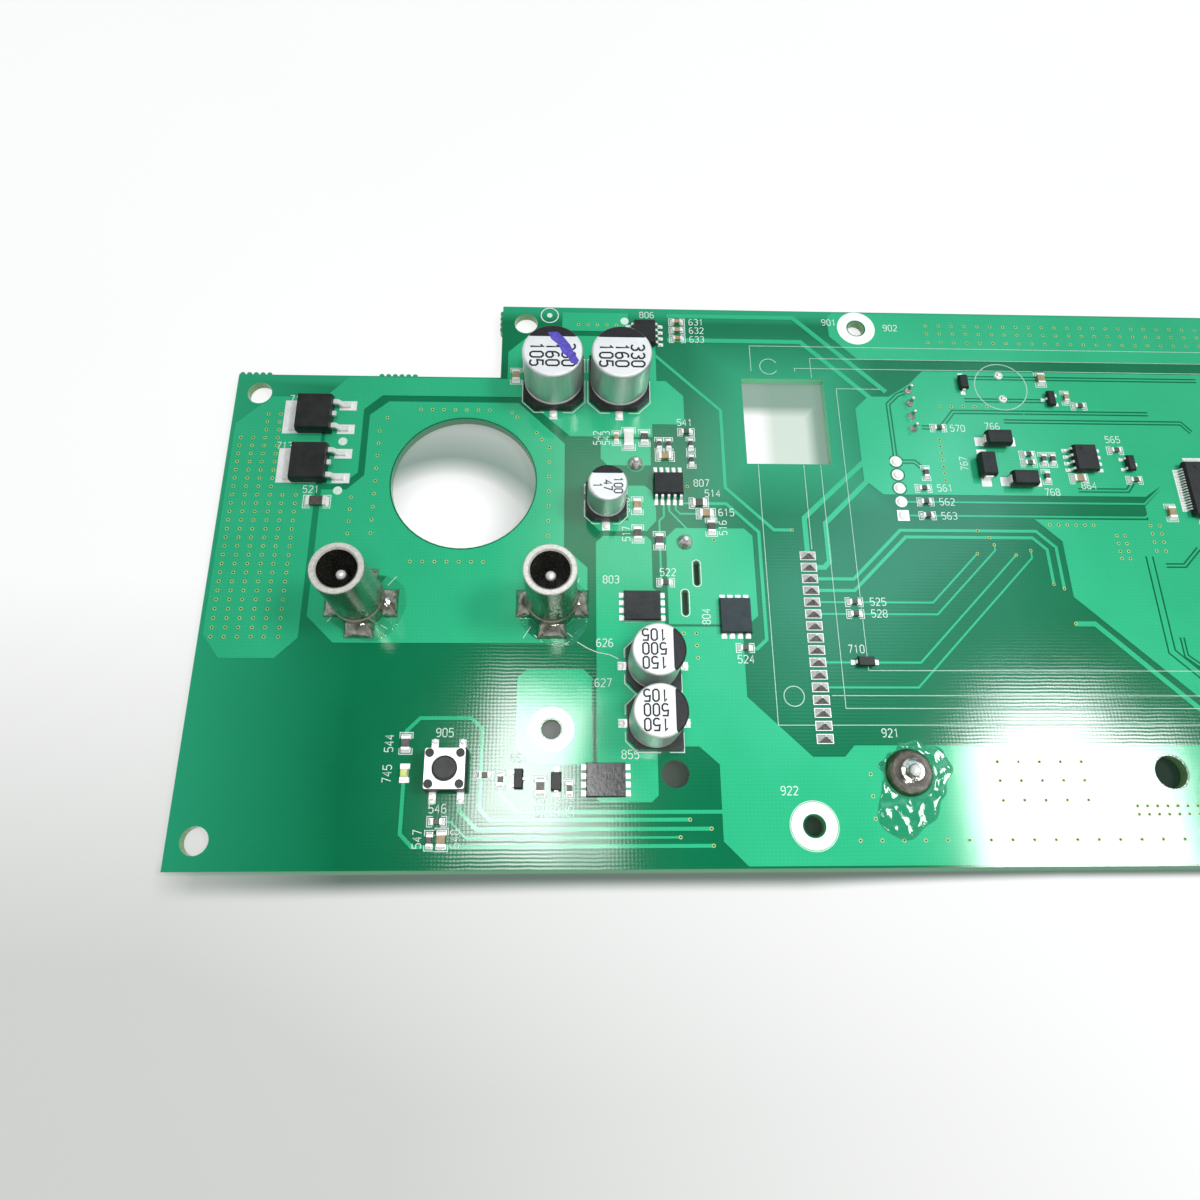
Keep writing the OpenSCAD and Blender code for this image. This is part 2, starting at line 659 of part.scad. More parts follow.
module copper_pattern() {
  difference() {
    for (a = areas) polygon(a);
    for (t = free_tracks) polygon(track_outline(t[1], t[0] + 2 * isolation));
    row_pads(isolation);
  }
  for (t = concat(feed_tracks, free_tracks)) polygon(track_outline(t[1], t[0]));
  lands();
  ribbon_lands();
  row_pads();
  for (p = pins) translate([p[0], p[1]]) circle(d = p[4] + 2 * pin_land_edge, $fn = copper_fine);
  translate(stud_at) circle(d = stud_solder_d + 2 * stud_land_edge, $fn = fine);
  for (p = rings) translate(p) circle(d = ring_d, $fn = fine);
}

module ribbon_lands() {
  for (i = [0:ribbon_n - 1])
    translate(ribbon_at - [0, i * ribbon_pitch]) square(ribbon_land, center = true);
}

module solder_lands() {
  color("gainsboro") on_board() translate([0, 0, land_z]) linear_extrude(land_t) {
    lands();
    ribbon_lands();
    difference() {
      row_pads();
      for (p = row_pins) translate([p[0], p[1]]) circle(d = p[4], $fn = fine);
    }
  }
}

module plated_rings() {
  color("whitesmoke") on_board() for (p = rings)
    translate([p[0], p[1], land_z]) linear_extrude(land_t) difference() {
      circle(d = ring_d, $fn = fine);
      circle(d = ring_hole_d + 2 * hole_relief, $fn = fine);
    }
}

// Turned can with a rounded shoulder and a rolled lip at its foot
module can(d, h) {
  r = d / 2;
  foot = cap_lead_t + cap_base_h - cap_seat;
  lip = 0.5;
  groove = 0.22;
  shoulder = 0.45;
  rotate_extrude($fn = round_fine) polygon(concat(
    [
      [0, foot], [r - 0.3, foot], [r, foot + 0.3], [r, foot + cap_seat + lip - 0.2],
      [r - groove, foot + cap_seat + lip], [r, foot + cap_seat + lip + 0.35]
    ],
    [for (a = [0:15:90]) [r - shoulder + shoulder * cos(a), h - shoulder + shoulder * sin(a)]],
    [[0, h]]
  ));
}

// Moulded base with two cut corners at its front and a round seat for the can
module cap_base(d) {
  side = d + base_margin;
  cut = side * 0.2;
  e = side / 2;
  translate([0, 0, cap_lead_t]) difference() {
    linear_extrude(cap_base_h)
      polygon([[-e + cut, -e], [e - cut, -e], [e, -e + cut], [e, e], [-e, e], [-e, -e + cut]]);
    translate([0, 0, cap_base_h - cap_seat]) cylinder(d = d + 2 * fit_gap, h = cap_base_h, $fn = round_fine);
  }
}

module cap_leads(base) {
  mirrored_pair()
    translate([-cap_lead_w / 2, cap_lead_root, 0])
      cube([cap_lead_w, base / 2 + cap_lead_reach - cap_lead_root, cap_lead_t]);
}

module large_capacitor_cans() {
  color("lightgray") for (p = large_caps) seated(p) can(large_can_d, large_can_h);
}

module large_capacitor_bases() {
  color("#222222") for (p = large_caps) seated(p) cap_base(large_can_d);
}

module large_capacitor_leads() {
  color("silver") for (p = large_caps) seated(p) cap_leads(large_base);
}

module medium_capacitor_cans() {
  color("lightgray") for (p = medium_caps) seated(p) can(medium_can_d, medium_can_h);
}

module medium_capacitor_bases() {
  color("#222222") for (p = medium_caps) seated(p, -90) cap_base(medium_can_d);
}

module medium_capacitor_leads() {
  color("silver") for (p = medium_caps) seated(p, 90) cap_leads(medium_base);
}

module small_capacitor_can() {
  color("lightgray") seated(small_cap) can(small_can_d, small_can_h);
}

module small_capacitor_base() {
  color("#222222") seated(small_cap) cap_base(small_can_d);
}

module small_capacitor_leads() {
  color("silver") seated(small_cap) cap_leads(small_base);
}

// Turned sleeve with a thicker foot and a bevelled mouth
module jack_sleeve() {
  ro = jack_d / 2;
  ri = jack_bore / 2;
  rf = jack_foot_d / 2;
  rotate_extrude($fn = round_fine) polygon([
    [ri, 0], [rf, 0], [rf, jack_foot_h - jack_rim], [ro, jack_foot_h], [ro, jack_h - jack_rim / 2],
    [ro - jack_rim / 2, jack_h], [ri + jack_rim, jack_h], [ri, jack_h - jack_rim]
  ]);
}

module left_jack_sleeve() {
  color("silver") seated(jack_left) jack_sleeve();
}

module right_jack_sleeve() {
  color("silver") seated(jack_right) jack_sleeve();
}

module jack_insulators() {
  color("#1a1a1a") for (p = [jack_left, jack_right]) seated(p) difference() {
    cylinder(d = jack_bore, h = insulator_h, $fn = round_fine);
    translate([0, 0, -1]) cylinder(d = jack_pin_d, h = insulator_h + 2, $fn = fine);
  }
}

module jack_pins() {
  r = jack_pin_d / 2;
  color("gainsboro") for (p = [jack_left, jack_right]) seated(p)
    rotate_extrude($fn = fine) polygon(concat(
      [[0, 0], [r, 0]],
      [for (a = [0:15:90]) [r * cos(a), jack_pin_h - r + r * sin(a)]]
    ));
}

// Four solder feet that climb the sleeve's foot
module jack_solder() {
  rf = jack_foot_d / 2;
  reach = rf + jack_solder_reach;
  color("darkgray") for (p = [jack_left, jack_right]) seated(p) difference() {
    for (a = [0:90:270]) rotate(a) side_prism([
      [rf * 0.7, 0], [reach, 0], [reach - 0.1, 0.5], [reach - 0.5, jack_solder_h * 0.75],
      [rf + 0.4, jack_solder_h * 0.9], [rf * 0.7, jack_solder_h]
    ], jack_solder_w);
    translate([0, 0, -1]) cylinder(d = jack_foot_d, h = jack_h, $fn = round_fine);
  }
}

// Moulded power diodes on their heat tabs
module power_tab_shape(gap) {
  translate([-power_size[0] / 2 - power_tab_reach, -power_tab[1] / 2 - gap, -gap])
    cube([power_tab[0] + gap, power_tab[1] + 2 * gap, power_tab[2] + gap]);
}

module power_diode_bodies() {
  color("#2b2b2b") at_each(power_diodes) difference() {
    moulded_body(power_size);
    power_tab_shape(0);
  }
}

module power_diode_tabs() {
  color("gainsboro") at_each(power_diodes) power_tab_shape(0);
}

stub_l = 0.6;
module power_diode_leads() {
  color("gainsboro") at_each(power_diodes) {
    for (s = [-1, 1]) translate([power_size[0] / 2, s * power_lead_y, 0])
      side_prism(gull_profile(power_lead), power_lead[4]);
    translate([power_size[0] / 2, -power_lead[4] / 2, power_lead[2]])
      cube([stub_l, power_lead[4], power_lead[3]]);
  }
}

module dual_chip_bodies() {
  color("#303030") at_each(dual_chips) pin_one_dimple(dual_body, 0.6) moulded_body(dual_body);
}

module dual_chip_leads() {
  color("gainsboro") at_each(dual_chips) mirrored_pair() lead_row(dual_body[0], dual_lead, 4, dual_pitch);
}

module controller_body() {
  color("#303030") seated(controller_at) pin_one_dimple(controller_size, 0.6) moulded_body(controller_size);
}

module controller_leads() {
  color("gainsboro") seated(controller_at, 90) mirrored_pair()
    lead_row(controller_size[1], controller_lead, controller_side_n, controller_pitch);
}

module power_transistor_bodies() {
  color("#2b2b2b") at_each(fets) moulded_body(fet_size, 0, [0, 0.6]);
}

module power_transistor_leads() {
  color("gainsboro") at_each(fets) mirrored_pair() for (i = [0:3])
    translate([fet_size[0] / 2, (i - 1.5) * fet_pitch - fet_lead[1] / 2, 0])
      cube([fet_lead[0], fet_lead[1], fet_lead[2]]);
}

// Push switch: open base with four staked posts, steel cover, snap dome and plunger
module switch_base() {
  color("#333333") seated(switch_at) {
    difference() {
      linear_extrude(cavity_h) square(switch_w, center = true);
      translate([0, 0, cavity_floor]) cylinder(r = cavity_r, h = switch_h, $fn = round_fine);
    }
    for (x = [-1, 1], y = [-1, 1]) translate([x * rivet_at, y * rivet_at, 0]) {
      translate([0, 0, cavity_h / 2]) cylinder(d = rivet_d, h = switch_h - cavity_h / 2, $fn = fine);
      translate([0, 0, switch_h]) cylinder(d = rivet_head_d, h = rivet_head_h, $fn = fine);
    }
  }
}

module switch_cover() {
  corner = 0.35;
  color("whitesmoke") seated(switch_at) translate([0, 0, cavity_h]) linear_extrude(cover_t) difference() {
    union() {
      square([cover_w, cover_w - 2 * corner], center = true);
      square([cover_w - 2 * corner, cover_w], center = true);
      for (x = [-1, 1], y = [-1, 1])
        translate([x, y] * (cover_w / 2 - corner)) circle(r = corner, $fn = fine);
    }
    circle(d = plunger_d + 2 * slide_gap, $fn = fine);
    for (x = [-1, 1], y = [-1, 1])
      translate([x, y] * rivet_at) circle(d = rivet_d + 2 * fit_gap, $fn = fine);
  }
}

// Flat legs that leave the base at its foot and reach out over their lands
module switch_terminals() {
  color("gainsboro") seated(switch_at) for (x = [-1, 1], y = [0, 180]) rotate(y)
    translate([x * terminal_x - terminal_w / 2, switch_w / 2, 0])
      cube([terminal_w, terminal_reach, terminal_t]);
}

// Thin curved disc on the cavity floor
module switch_dome() {
  rim = plunger_d / 2;
  steps = 6;
  inner = [for (i = [0:steps]) [rim * i / steps, dome_rise * (1 - pow(i / steps, 2))]];
  color("silver") seated(switch_at) translate([0, 0, cavity_floor]) rotate_extrude($fn = fine)
    polygon(concat(
      [for (p = inner) [p[0], p[1] + dome_t]],
      [for (i = [steps:-1:0]) inner[i]]
    ));
}

// Button with a flange under the cover and a nib over the dome
module switch_plunger() {
  r = plunger_d / 2;
  nib_r = 0.6;
  top_r = 0.25;
  flange_top = cavity_h - fit_gap;
  nib_z = cavity_floor + dome_rise + dome_t + fit_gap;
  color("#3a3a3a") seated(switch_at) rotate_extrude($fn = fine) polygon(concat(
    [
      [0, nib_z], [nib_r, nib_z], [nib_r, flange_top - flange_t], [flange_r, flange_top - flange_t],
      [flange_r, flange_top], [r, flange_top]
    ],
    [for (a = [0:15:90]) [r - top_r + top_r * cos(a), plunger_h - top_r + top_r * sin(a)]],
    [[0, plunger_h]]
  ));
}

// Indicator lamp: white carrier, clear yellow-green lens, plated ends
module led_base() {
  color("ivory") seated(led_at, 90) chip_body(led_size);
}

module led_lens() {
  lens = [led_size[0] - 2 * chip_end(led_size) - 0.1, led_size[1] - 0.1, led_lens_h];
  slope = 0.1;
  color("yellowgreen") seated(led_at, 90) translate([0, 0, led_size[2] - chip_step]) intersection() {
    side_prism([
      [-lens[0] / 2, 0], [lens[0] / 2, 0], [lens[0] / 2 - slope, lens[2]], [-lens[0] / 2 + slope, lens[2]]
    ], lens[1]);
    rotate(90) side_prism([
      [-lens[1] / 2, 0], [lens[1] / 2, 0], [lens[1] / 2 - slope, lens[2]], [-lens[1] / 2 + slope, lens[2]]
    ], lens[0]);
  }
}

module led_ends() {
  color("gainsboro") seated(led_at, 90) chip_ends(led_size);
}

module resistor_bodies() {
  color("#3d3a36") {
    at_each(small_resistors) chip_body(small_chip);
    at_each(medium_resistors) chip_body(medium_chip);
    at_each(large_resistors) chip_body(large_chip);
  }
}

module resistor_ends() {
  color("gainsboro") {
    at_each(small_resistors) chip_ends(small_chip);
    at_each(medium_resistors) chip_ends(medium_chip);
    at_each(large_resistors) chip_ends(large_chip);
  }
}

module ceramic_bodies() {
  color("tan") {
    at_each(small_ceramics) chip_body(small_chip);
    at_each(medium_ceramics) chip_body(medium_chip);
  }
}

module ceramic_ends() {
  color("gainsboro") {
    at_each(small_ceramics) chip_ends(small_chip);
    at_each(medium_ceramics) chip_ends(medium_chip);
  }
}

module small_transistor_bodies() {
  color("#2b2b2b") at_each(transistors) moulded_body(transistor_size);
}

module small_transistor_leads() {
  color("gainsboro") at_each(transistors) {
    lead_row(transistor_size[0], transistor_lead, 1, 1);
    rotate(180) lead_row(transistor_size[0], transistor_lead, 2, 2 * transistor_lead_y);
  }
}

module signal_diode_bodies() {
  color("#2b2b2b") at_each(signal_diodes) moulded_body(signal_size);
}

module signal_diode_leads() {
  color("gainsboro") at_each(signal_diodes) mirrored_pair() lead_row(signal_size[0], signal_lead, 1, 1);
}

module clamp_diode_bodies() {
  color("#3a3a3a") at_each(clamp_diodes) moulded_body(clamp_size, clamp_tab[0]);
}

// Tabs that drop down the ends of the body and turn in under it
module clamp_diode_leads() {
  half = clamp_size[0] / 2;
  t = clamp_tab[0];
  color("gainsboro") at_each(clamp_diodes) mirrored_pair()
    side_prism([
      [half - clamp_tab[2], 0], [half + t, 0], [half + t, clamp_size[2] / 2 + t],
      [half, clamp_size[2] / 2 + t], [half, t], [half - clamp_tab[2], t]
    ], clamp_tab[1]);
}

module processor_body() {
  size = [processor_w, processor_w, processor_h];
  color("#303030") seated(processor_at) pin_one_dimple(size, 0.9) moulded_body(size);
}

module processor_leads() {
  color("gainsboro") seated(processor_at) for (a = [0:90:270]) rotate(a)
    lead_row(processor_w, processor_lead, processor_leads_n, processor_pitch);
}

// Round pin that fills its hole and ends in a dome
module round_pin(d, h) {
  r = d / 2;
  rotate_extrude($fn = fine) polygon(concat(
    [[0, 0], [r, 0]],
    [for (a = [0:15:90]) [r * cos(a), h - r + r * sin(a)]]
  ));
}

// Solder that climbs a pin in a hollow curve
module solder_cone(d, pin, h, hollow) {
  steps = 8;
  rotate_extrude($fn = fine) polygon(concat(
    [[pin / 2, 0]],
    [for (i = [0:steps]) let (u = i / steps) [d / 2 + (pin / 2 - d / 2) * u, h * pow(u, hollow)]]
  ));
}

module stud_pin() {
  color("gainsboro") on_board() translate(concat(stud_at, 0)) round_pin(stud_d, board_t + stud_h);
}

// Domed heap of solder round the stud
module stud_solder() {
  reach = (stud_solder_d - stud_d) / 2;
  color("silver") on_board() translate(concat(stud_at, land_z)) rotate_extrude($fn = fine) polygon(concat(
    [[stud_d / 2, 0]],
    [for (a = [0:10:90]) [stud_d / 2 + reach * cos(a), stud_solder_h * sin(a)]]
  ));
}

module through_pins() {
  color("gainsboro") on_board() for (p = pins) translate([p[0], p[1], 0]) round_pin(p[2], board_t + p[3]);
}

module pin_solder() {
  color("whitesmoke") on_board() for (p = pins)
    translate([p[0], p[1], land_z]) solder_cone(p[4], p[2], p[5], 0.6);
}

// Heap of solder left on each ribbon land: a narrow peak at the back, a slope to the front
ribbon_heap_h = 0.62;
ribbon_heap_edge = 0.1;
ribbon_peak = 0.24;
ribbon_back = 0.2;
module ribbon_heap() {
  hw = ribbon_land[0] / 2 - ribbon_heap_edge;
  hl = ribbon_land[1] / 2 - ribbon_heap_edge;
  intersection() {
    side_prism([
      [-hw, 0], [hw, 0], [ribbon_peak / 2, ribbon_heap_h], [-ribbon_peak / 2, ribbon_heap_h]
    ], 2 * hl);
    rotate(90) side_prism([
      [-hl, 0], [hl, 0], [hl - ribbon_back, ribbon_heap_h], [hl - ribbon_back - ribbon_peak, ribbon_heap_h]
    ], 2 * hw);
  }
}

module ribbon_solder() {
  color("silver") for (i = [0:ribbon_n - 1]) seated(ribbon_at - [0, i * ribbon_pitch]) ribbon_heap();
}

laminate();
copper_layer();
solder_lands();
plated_rings();
large_capacitor_cans();
large_capacitor_bases();
large_capacitor_leads();
medium_capacitor_cans();
medium_capacitor_bases();
medium_capacitor_leads();
small_capacitor_can();
small_capacitor_base();
small_capacitor_leads();
left_jack_sleeve();
right_jack_sleeve();
jack_insulators();
jack_pins();
jack_solder();
power_diode_bodies();
power_diode_tabs();
power_diode_leads();
dual_chip_bodies();
dual_chip_leads();
controller_body();
controller_leads();
power_transistor_bodies();
power_transistor_leads();
switch_base();
switch_cover();
switch_terminals();
switch_dome();
switch_plunger();
led_base();
led_lens();
led_ends();
resistor_bodies();
resistor_ends();
ceramic_bodies();
ceramic_ends();
small_transistor_bodies();
small_transistor_leads();
signal_diode_bodies();
signal_diode_leads();
clamp_diode_bodies();
clamp_diode_leads();
processor_body();
processor_leads();
stud_pin();
stud_solder();
through_pins();
pin_solder();
ribbon_solder();
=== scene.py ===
"""Looks of the assembled circuit board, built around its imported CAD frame."""
import json
import math
import random

import bmesh
import bpy
from mathutils import Euler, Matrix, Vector
from mathutils import noise as relief


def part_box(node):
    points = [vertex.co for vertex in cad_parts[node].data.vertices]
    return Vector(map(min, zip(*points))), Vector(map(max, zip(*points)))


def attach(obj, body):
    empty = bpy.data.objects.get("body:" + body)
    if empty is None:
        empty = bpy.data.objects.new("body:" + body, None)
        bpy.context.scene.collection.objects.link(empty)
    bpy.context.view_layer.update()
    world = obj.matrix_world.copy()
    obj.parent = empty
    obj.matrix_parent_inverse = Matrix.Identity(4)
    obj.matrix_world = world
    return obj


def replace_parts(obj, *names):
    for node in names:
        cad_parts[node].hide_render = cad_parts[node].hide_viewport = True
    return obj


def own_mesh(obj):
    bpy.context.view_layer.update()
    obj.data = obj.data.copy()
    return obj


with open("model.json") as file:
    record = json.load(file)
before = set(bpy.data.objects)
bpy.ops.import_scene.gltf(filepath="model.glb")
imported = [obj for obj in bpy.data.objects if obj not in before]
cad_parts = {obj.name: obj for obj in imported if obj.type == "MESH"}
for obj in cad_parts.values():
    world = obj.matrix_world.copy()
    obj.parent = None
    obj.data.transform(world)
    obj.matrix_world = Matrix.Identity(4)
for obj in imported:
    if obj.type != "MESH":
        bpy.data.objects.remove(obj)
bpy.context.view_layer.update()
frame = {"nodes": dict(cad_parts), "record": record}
NODES = frame["nodes"]
MM = 0.001

# Levels and the board's size, taken from the frame
LOW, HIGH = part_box("laminate")
BOARD_W = (HIGH.x - LOW.x) / MM
BOARD_D = (HIGH.y - LOW.y) / MM
FACE_Z = HIGH.z
MASK_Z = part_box("copper_layer")[1].z
LAND_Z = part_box("solder_lands")[1].z
INK_MM = 0.014


def at(x, y, z=None):
    """A place on the board in millimetres from its front left corner, on the mask unless z is given."""
    return Vector((LOW.x + x * MM, LOW.y + y * MM, MASK_Z if z is None else z))


# Material helpers

def node_tree(name):
    mat = bpy.data.materials.new(name)
    mat.use_nodes = True
    tree = mat.node_tree
    return mat, tree, tree.nodes["Principled BSDF"]


def link(tree, a, b):
    tree.links.new(a, b)


def coords(tree):
    return tree.nodes.new("ShaderNodeTexCoord").outputs["Object"]


def axes(tree, vector):
    split = tree.nodes.new("ShaderNodeSeparateXYZ")
    link(tree, vector, split.inputs[0])
    return split.outputs


def noise(tree, size_mm, detail=4.0, rough=0.55, vector=None):
    """Noise with features of about the given size."""
    n = tree.nodes.new("ShaderNodeTexNoise")
    n.inputs["Scale"].default_value = 1 / (size_mm * MM)
    n.inputs["Detail"].default_value = detail
    n.inputs["Roughness"].default_value = rough
    link(tree, vector or coords(tree), n.inputs["Vector"])
    return n.outputs["Fac"]


def wave(tree, pitch_mm, axis, distortion=1.5):
    """Fine parallel bands of the given pitch across one axis."""
    n = tree.nodes.new("ShaderNodeTexWave")
    n.bands_direction = axis
    n.inputs["Scale"].default_value = math.pi / 10 / (pitch_mm * MM)
    n.inputs["Distortion"].default_value = distortion
    n.inputs["Detail"].default_value = 1.5
    n.inputs["Detail Scale"].default_value = 0.6
    link(tree, coords(tree), n.inputs["Vector"])
    return n.outputs["Fac"]


def span(tree, value, low, high, start=0.3, end=0.7, ramp="LINEAR"):
    """Maps start..end of a value to low..high."""
    n = tree.nodes.new("ShaderNodeMapRange")
    n.interpolation_type = ramp
    n.inputs["From Min"].default_value = start
    n.inputs["From Max"].default_value = end
    n.inputs["To Min"].default_value = low
    n.inputs["To Max"].default_value = high
    link(tree, value, n.inputs["Value"])
    return n.outputs["Result"]


def mix(tree, fac, a, b):
    """Mixes two colours, each a tuple or a socket."""
    n = tree.nodes.new("ShaderNodeMix")
    n.data_type = "RGBA"
    link(tree, fac, n.inputs["Factor"])
    for key, value in (("A", a), ("B", b)):
        sock = [s for s in n.inputs if s.name == key and s.type == "RGBA"][0]
        if isinstance(value, tuple):
            sock.default_value = (*value, 1)
        else:
            link(tree, value, sock)
    return [s for s in n.outputs if s.type == "RGBA"][0]


def calc(tree, op, *values):
    """Chains one sum, product, minimum or maximum over numbers and sockets."""
    total = values[0]
    for value in values[1:]:
        n = tree.nodes.new("ShaderNodeMath")
        n.operation = op
        for i, part in enumerate((total, value)):
            if isinstance(part, (int, float)):
                n.inputs[i].default_value = part
            else:
                link(tree, part, n.inputs[i])
        total = n.outputs[0]
    return total


def bump(tree, shader, height, depth_mm, strength=1.0):
    n = tree.nodes.new("ShaderNodeBump")
    n.inputs["Distance"].default_value = depth_mm * MM
    n.inputs["Strength"].default_value = strength
    link(tree, height, n.inputs["Height"])
    link(tree, n.outputs["Normal"], shader.inputs["Normal"])


def facing(tree):
    return axes(tree, tree.nodes.new("ShaderNodeNewGeometry").outputs["Normal"])


def facing_up(tree, low=0.6, high=0.9):
    """1 on faces that look up, 0 on the rest."""
    return span(tree, facing(tree)["Z"], 0, 1, low, high)


def board_axes(tree):
    """Millimetres along X and Y from the board's front left corner."""
    place = axes(tree, coords(tree))
    x = calc(tree, "MULTIPLY", calc(tree, "SUBTRACT", place["X"], LOW.x), 1 / MM)
    y = calc(tree, "MULTIPLY", calc(tree, "SUBTRACT", place["Y"], LOW.y), 1 / MM)
    return x, y


COAT_ROUGH = 0.08


def plain_surface(name, a, b, size_mm, rough, metallic=0.0, depth_mm=0.01, coat=0.0,
                  grain_mm=None, shine=0.5):
    """A surface that drifts between two colours, with grain in its gloss and its relief."""
    mat, tree, bsdf = node_tree(name)
    drift = span(tree, noise(tree, size_mm), 0, 1)
    grain = noise(tree, grain_mm or size_mm / 6, detail=6)
    link(tree, mix(tree, drift, a, b), bsdf.inputs["Base Color"])
    link(tree, span(tree, grain, rough[0], rough[1]), bsdf.inputs["Roughness"])
    bsdf.inputs["Metallic"].default_value = metallic
    bsdf.inputs["Specular IOR Level"].default_value = shine
    bsdf.inputs["Coat Weight"].default_value = coat
    bsdf.inputs["Coat Roughness"].default_value = COAT_ROUGH
    bump(tree, bsdf, grain, depth_mm)
    return mat


# Green mask on the laminate and on the copper

EDGE_PALE = (0.26, 0.46, 0.20)
EDGE_DARK = (0.13, 0.32, 0.12)
EDGE_LIT = (0.256, 0.73, 0.42)
EDGE_SHADED = (0.13, 0.31, 0.19)
WALL_NEAR = (0.3, 0.5)
WEAVE_MM = 0.56
WEAVE_TONE = 0.22
THREAD_SHADE = 0.6
MASK_DRIFT_MM = 14
SWELL_SIZE_MM = 5
FIBRE_MM = 0.35
COPPER_SHARE = 0.12
LAMINATE_ROUGH = (0.5, 0.6)
COPPER_ROUGH = (0.40, 0.48)
WING_LEN, WING_DEPTH = 45.1, 82
RIM_MM = 3.2
RIM_LIGHT = 0.9
LEFT_RIM_MM = 24
WINDOW_RIM_MM = 9
WINDOW_RIM_LIGHT = 0.7
# Middle and half sizes of the square window
WINDOW = (94.75, 74.05, 8, 9)
# Middle and radius of the round port
PORT = (39.6, 61.65, 12.6)


def away(tree, x, y, middle):
    """Millimetres from a point of the board."""
    off_x = calc(tree, "SUBTRACT", x, middle[0])
    off_y = calc(tree, "SUBTRACT", y, middle[1])
    squares = calc(tree, "ADD", calc(tree, "MULTIPLY", off_x, off_x), calc(tree, "MULTIPLY", off_y, off_y))
    return calc(tree, "SQRT", squares, 0)


def off_window(tree, x, y):
    """Millimetres outside the square window."""
    off_x = calc(tree, "ABSOLUTE", calc(tree, "SUBTRACT", x, WINDOW[0]), 0)
    off_y = calc(tree, "ABSOLUTE", calc(tree, "SUBTRACT", y, WINDOW[1]), 0)
    off_x = calc(tree, "SUBTRACT", off_x, WINDOW[2])
    off_y = calc(tree, "SUBTRACT", off_y, WINDOW[3])
    return calc(tree, "MAXIMUM", off_x, off_y)


def rim_light(tree):
    """1 where the mask gets painted light, as if light came through the laminate: along its left and rear
    edges and round the window.
    """
    x, y = board_axes(tree)
    left = span(tree, x, RIM_LIGHT, 0, 0, LEFT_RIM_MM)
    rear = span(tree, y, 0, RIM_LIGHT, BOARD_D - RIM_MM, BOARD_D - 1)
    wing = span(tree, y, 0, RIM_LIGHT, WING_DEPTH - RIM_MM, WING_DEPTH - 1)
    on_wing = span(tree, x, 1, 0, WING_LEN - 0.5, WING_LEN)
    window = span(tree, off_window(tree, x, y), WINDOW_RIM_LIGHT, 0, 0, WINDOW_RIM_MM)
    return calc(tree, "MAXIMUM", left, rear, window, calc(tree, "MULTIPLY", wing, on_wing))


def mask_material(name, a, b, gloss, cloth_mm, swell_mm, rim=None):
    """Clear glossy mask; the cloth's weave and slow swells lie under it, and sawn edges are bare."""
    mat, tree, bsdf = node_tree(name)
    face = mix(tree, span(tree, noise(tree, MASK_DRIFT_MM), 0, 1), a, b)
    weft, warp = wave(tree, WEAVE_MM, "Y"), wave(tree, WEAVE_MM, "X")
    threads = calc(tree, "MULTIPLY", weft, warp, WEAVE_TONE)
    face = mix(tree, threads, face, tuple(c * THREAD_SHADE for c in a))
    if rim:
        # Painted light: near the left and rear edges and round the window the mask turns to the rim colour
        face = mix(tree, rim_light(tree), face, rim)
        fibres = span(tree, noise(tree, FIBRE_MM, detail=3), 0, 1)
        side = mix(tree, fibres, EDGE_PALE, EDGE_DARK)
        x, y = board_axes(tree)
        off_port = calc(tree, "SUBTRACT", away(tree, x, y, PORT), PORT[2])
        # Painted light on the walls of the window and painted shade on the walls of the port
        side = mix(tree, span(tree, off_window(tree, x, y), 1, 0, *WALL_NEAR), side, EDGE_LIT)
        side = mix(tree, span(tree, off_port, 1, 0, *WALL_NEAR), side, EDGE_SHADED)
        flat = span(tree, calc(tree, "ABSOLUTE", facing(tree)["Z"], 0), 0, 1, 0.4, 0.6)
        face = mix(tree, flat, side, face)
    link(tree, face, bsdf.inputs["Base Color"])
    under = LAMINATE_ROUGH if rim else COPPER_ROUGH
    link(tree, span(tree, noise(tree, 3, detail=5), *under), bsdf.inputs["Roughness"])
    bsdf.inputs["Metallic"].default_value = 0 if rim else COPPER_SHARE
    bsdf.inputs["Specular IOR Level"].default_value = 0
    bsdf.inputs["Coat Weight"].default_value = 1
    bsdf.inputs["Coat Roughness"].default_value = gloss
    swell = calc(tree, "MULTIPLY", noise(tree, SWELL_SIZE_MM, detail=2), swell_mm)
    weft_mm = calc(tree, "MULTIPLY", weft, cloth_mm)
    warp_mm = calc(tree, "MULTIPLY", warp, cloth_mm / 3)
    bump(tree, bsdf, calc(tree, "ADD", weft_mm, warp_mm, swell), 1)
    link(tree, bsdf.inputs["Normal"].links[0].from_socket, bsdf.inputs["Coat Normal"])
    return mat


# Metals

def can_material():
    """Satin drawn aluminium sides with fine upright lines under a pale coated top."""
    mat, tree, bsdf = node_tree("can_metal")
    up = facing_up(tree, 0.75, 0.95)
    squeeze = tree.nodes.new("ShaderNodeMapping")
    squeeze.inputs["Scale"].default_value = (1, 1, 0.04)
    link(tree, coords(tree), squeeze.inputs["Vector"])
    lines = noise(tree, 0.12, detail=5, vector=squeeze.outputs["Vector"])
    side = mix(tree, span(tree, lines, 0, 1), (0.58, 0.59, 0.58), (0.72, 0.73, 0.72))
    top = mix(tree, span(tree, noise(tree, 3), 0, 1), (0.68, 0.69, 0.70), (0.76, 0.77, 0.77))
    link(tree, mix(tree, up, side, top), bsdf.inputs["Base Color"])
    link(tree, span(tree, up, 0.8, 0.1, 0, 1), bsdf.inputs["Metallic"])
    rough = calc(tree, "ADD", span(tree, lines, 0.34, 0.44), span(tree, up, 0, 0.1, 0, 1))
    link(tree, rough, bsdf.inputs["Roughness"])
    bump(tree, bsdf, lines, 0.004, 0.5)
    return mat


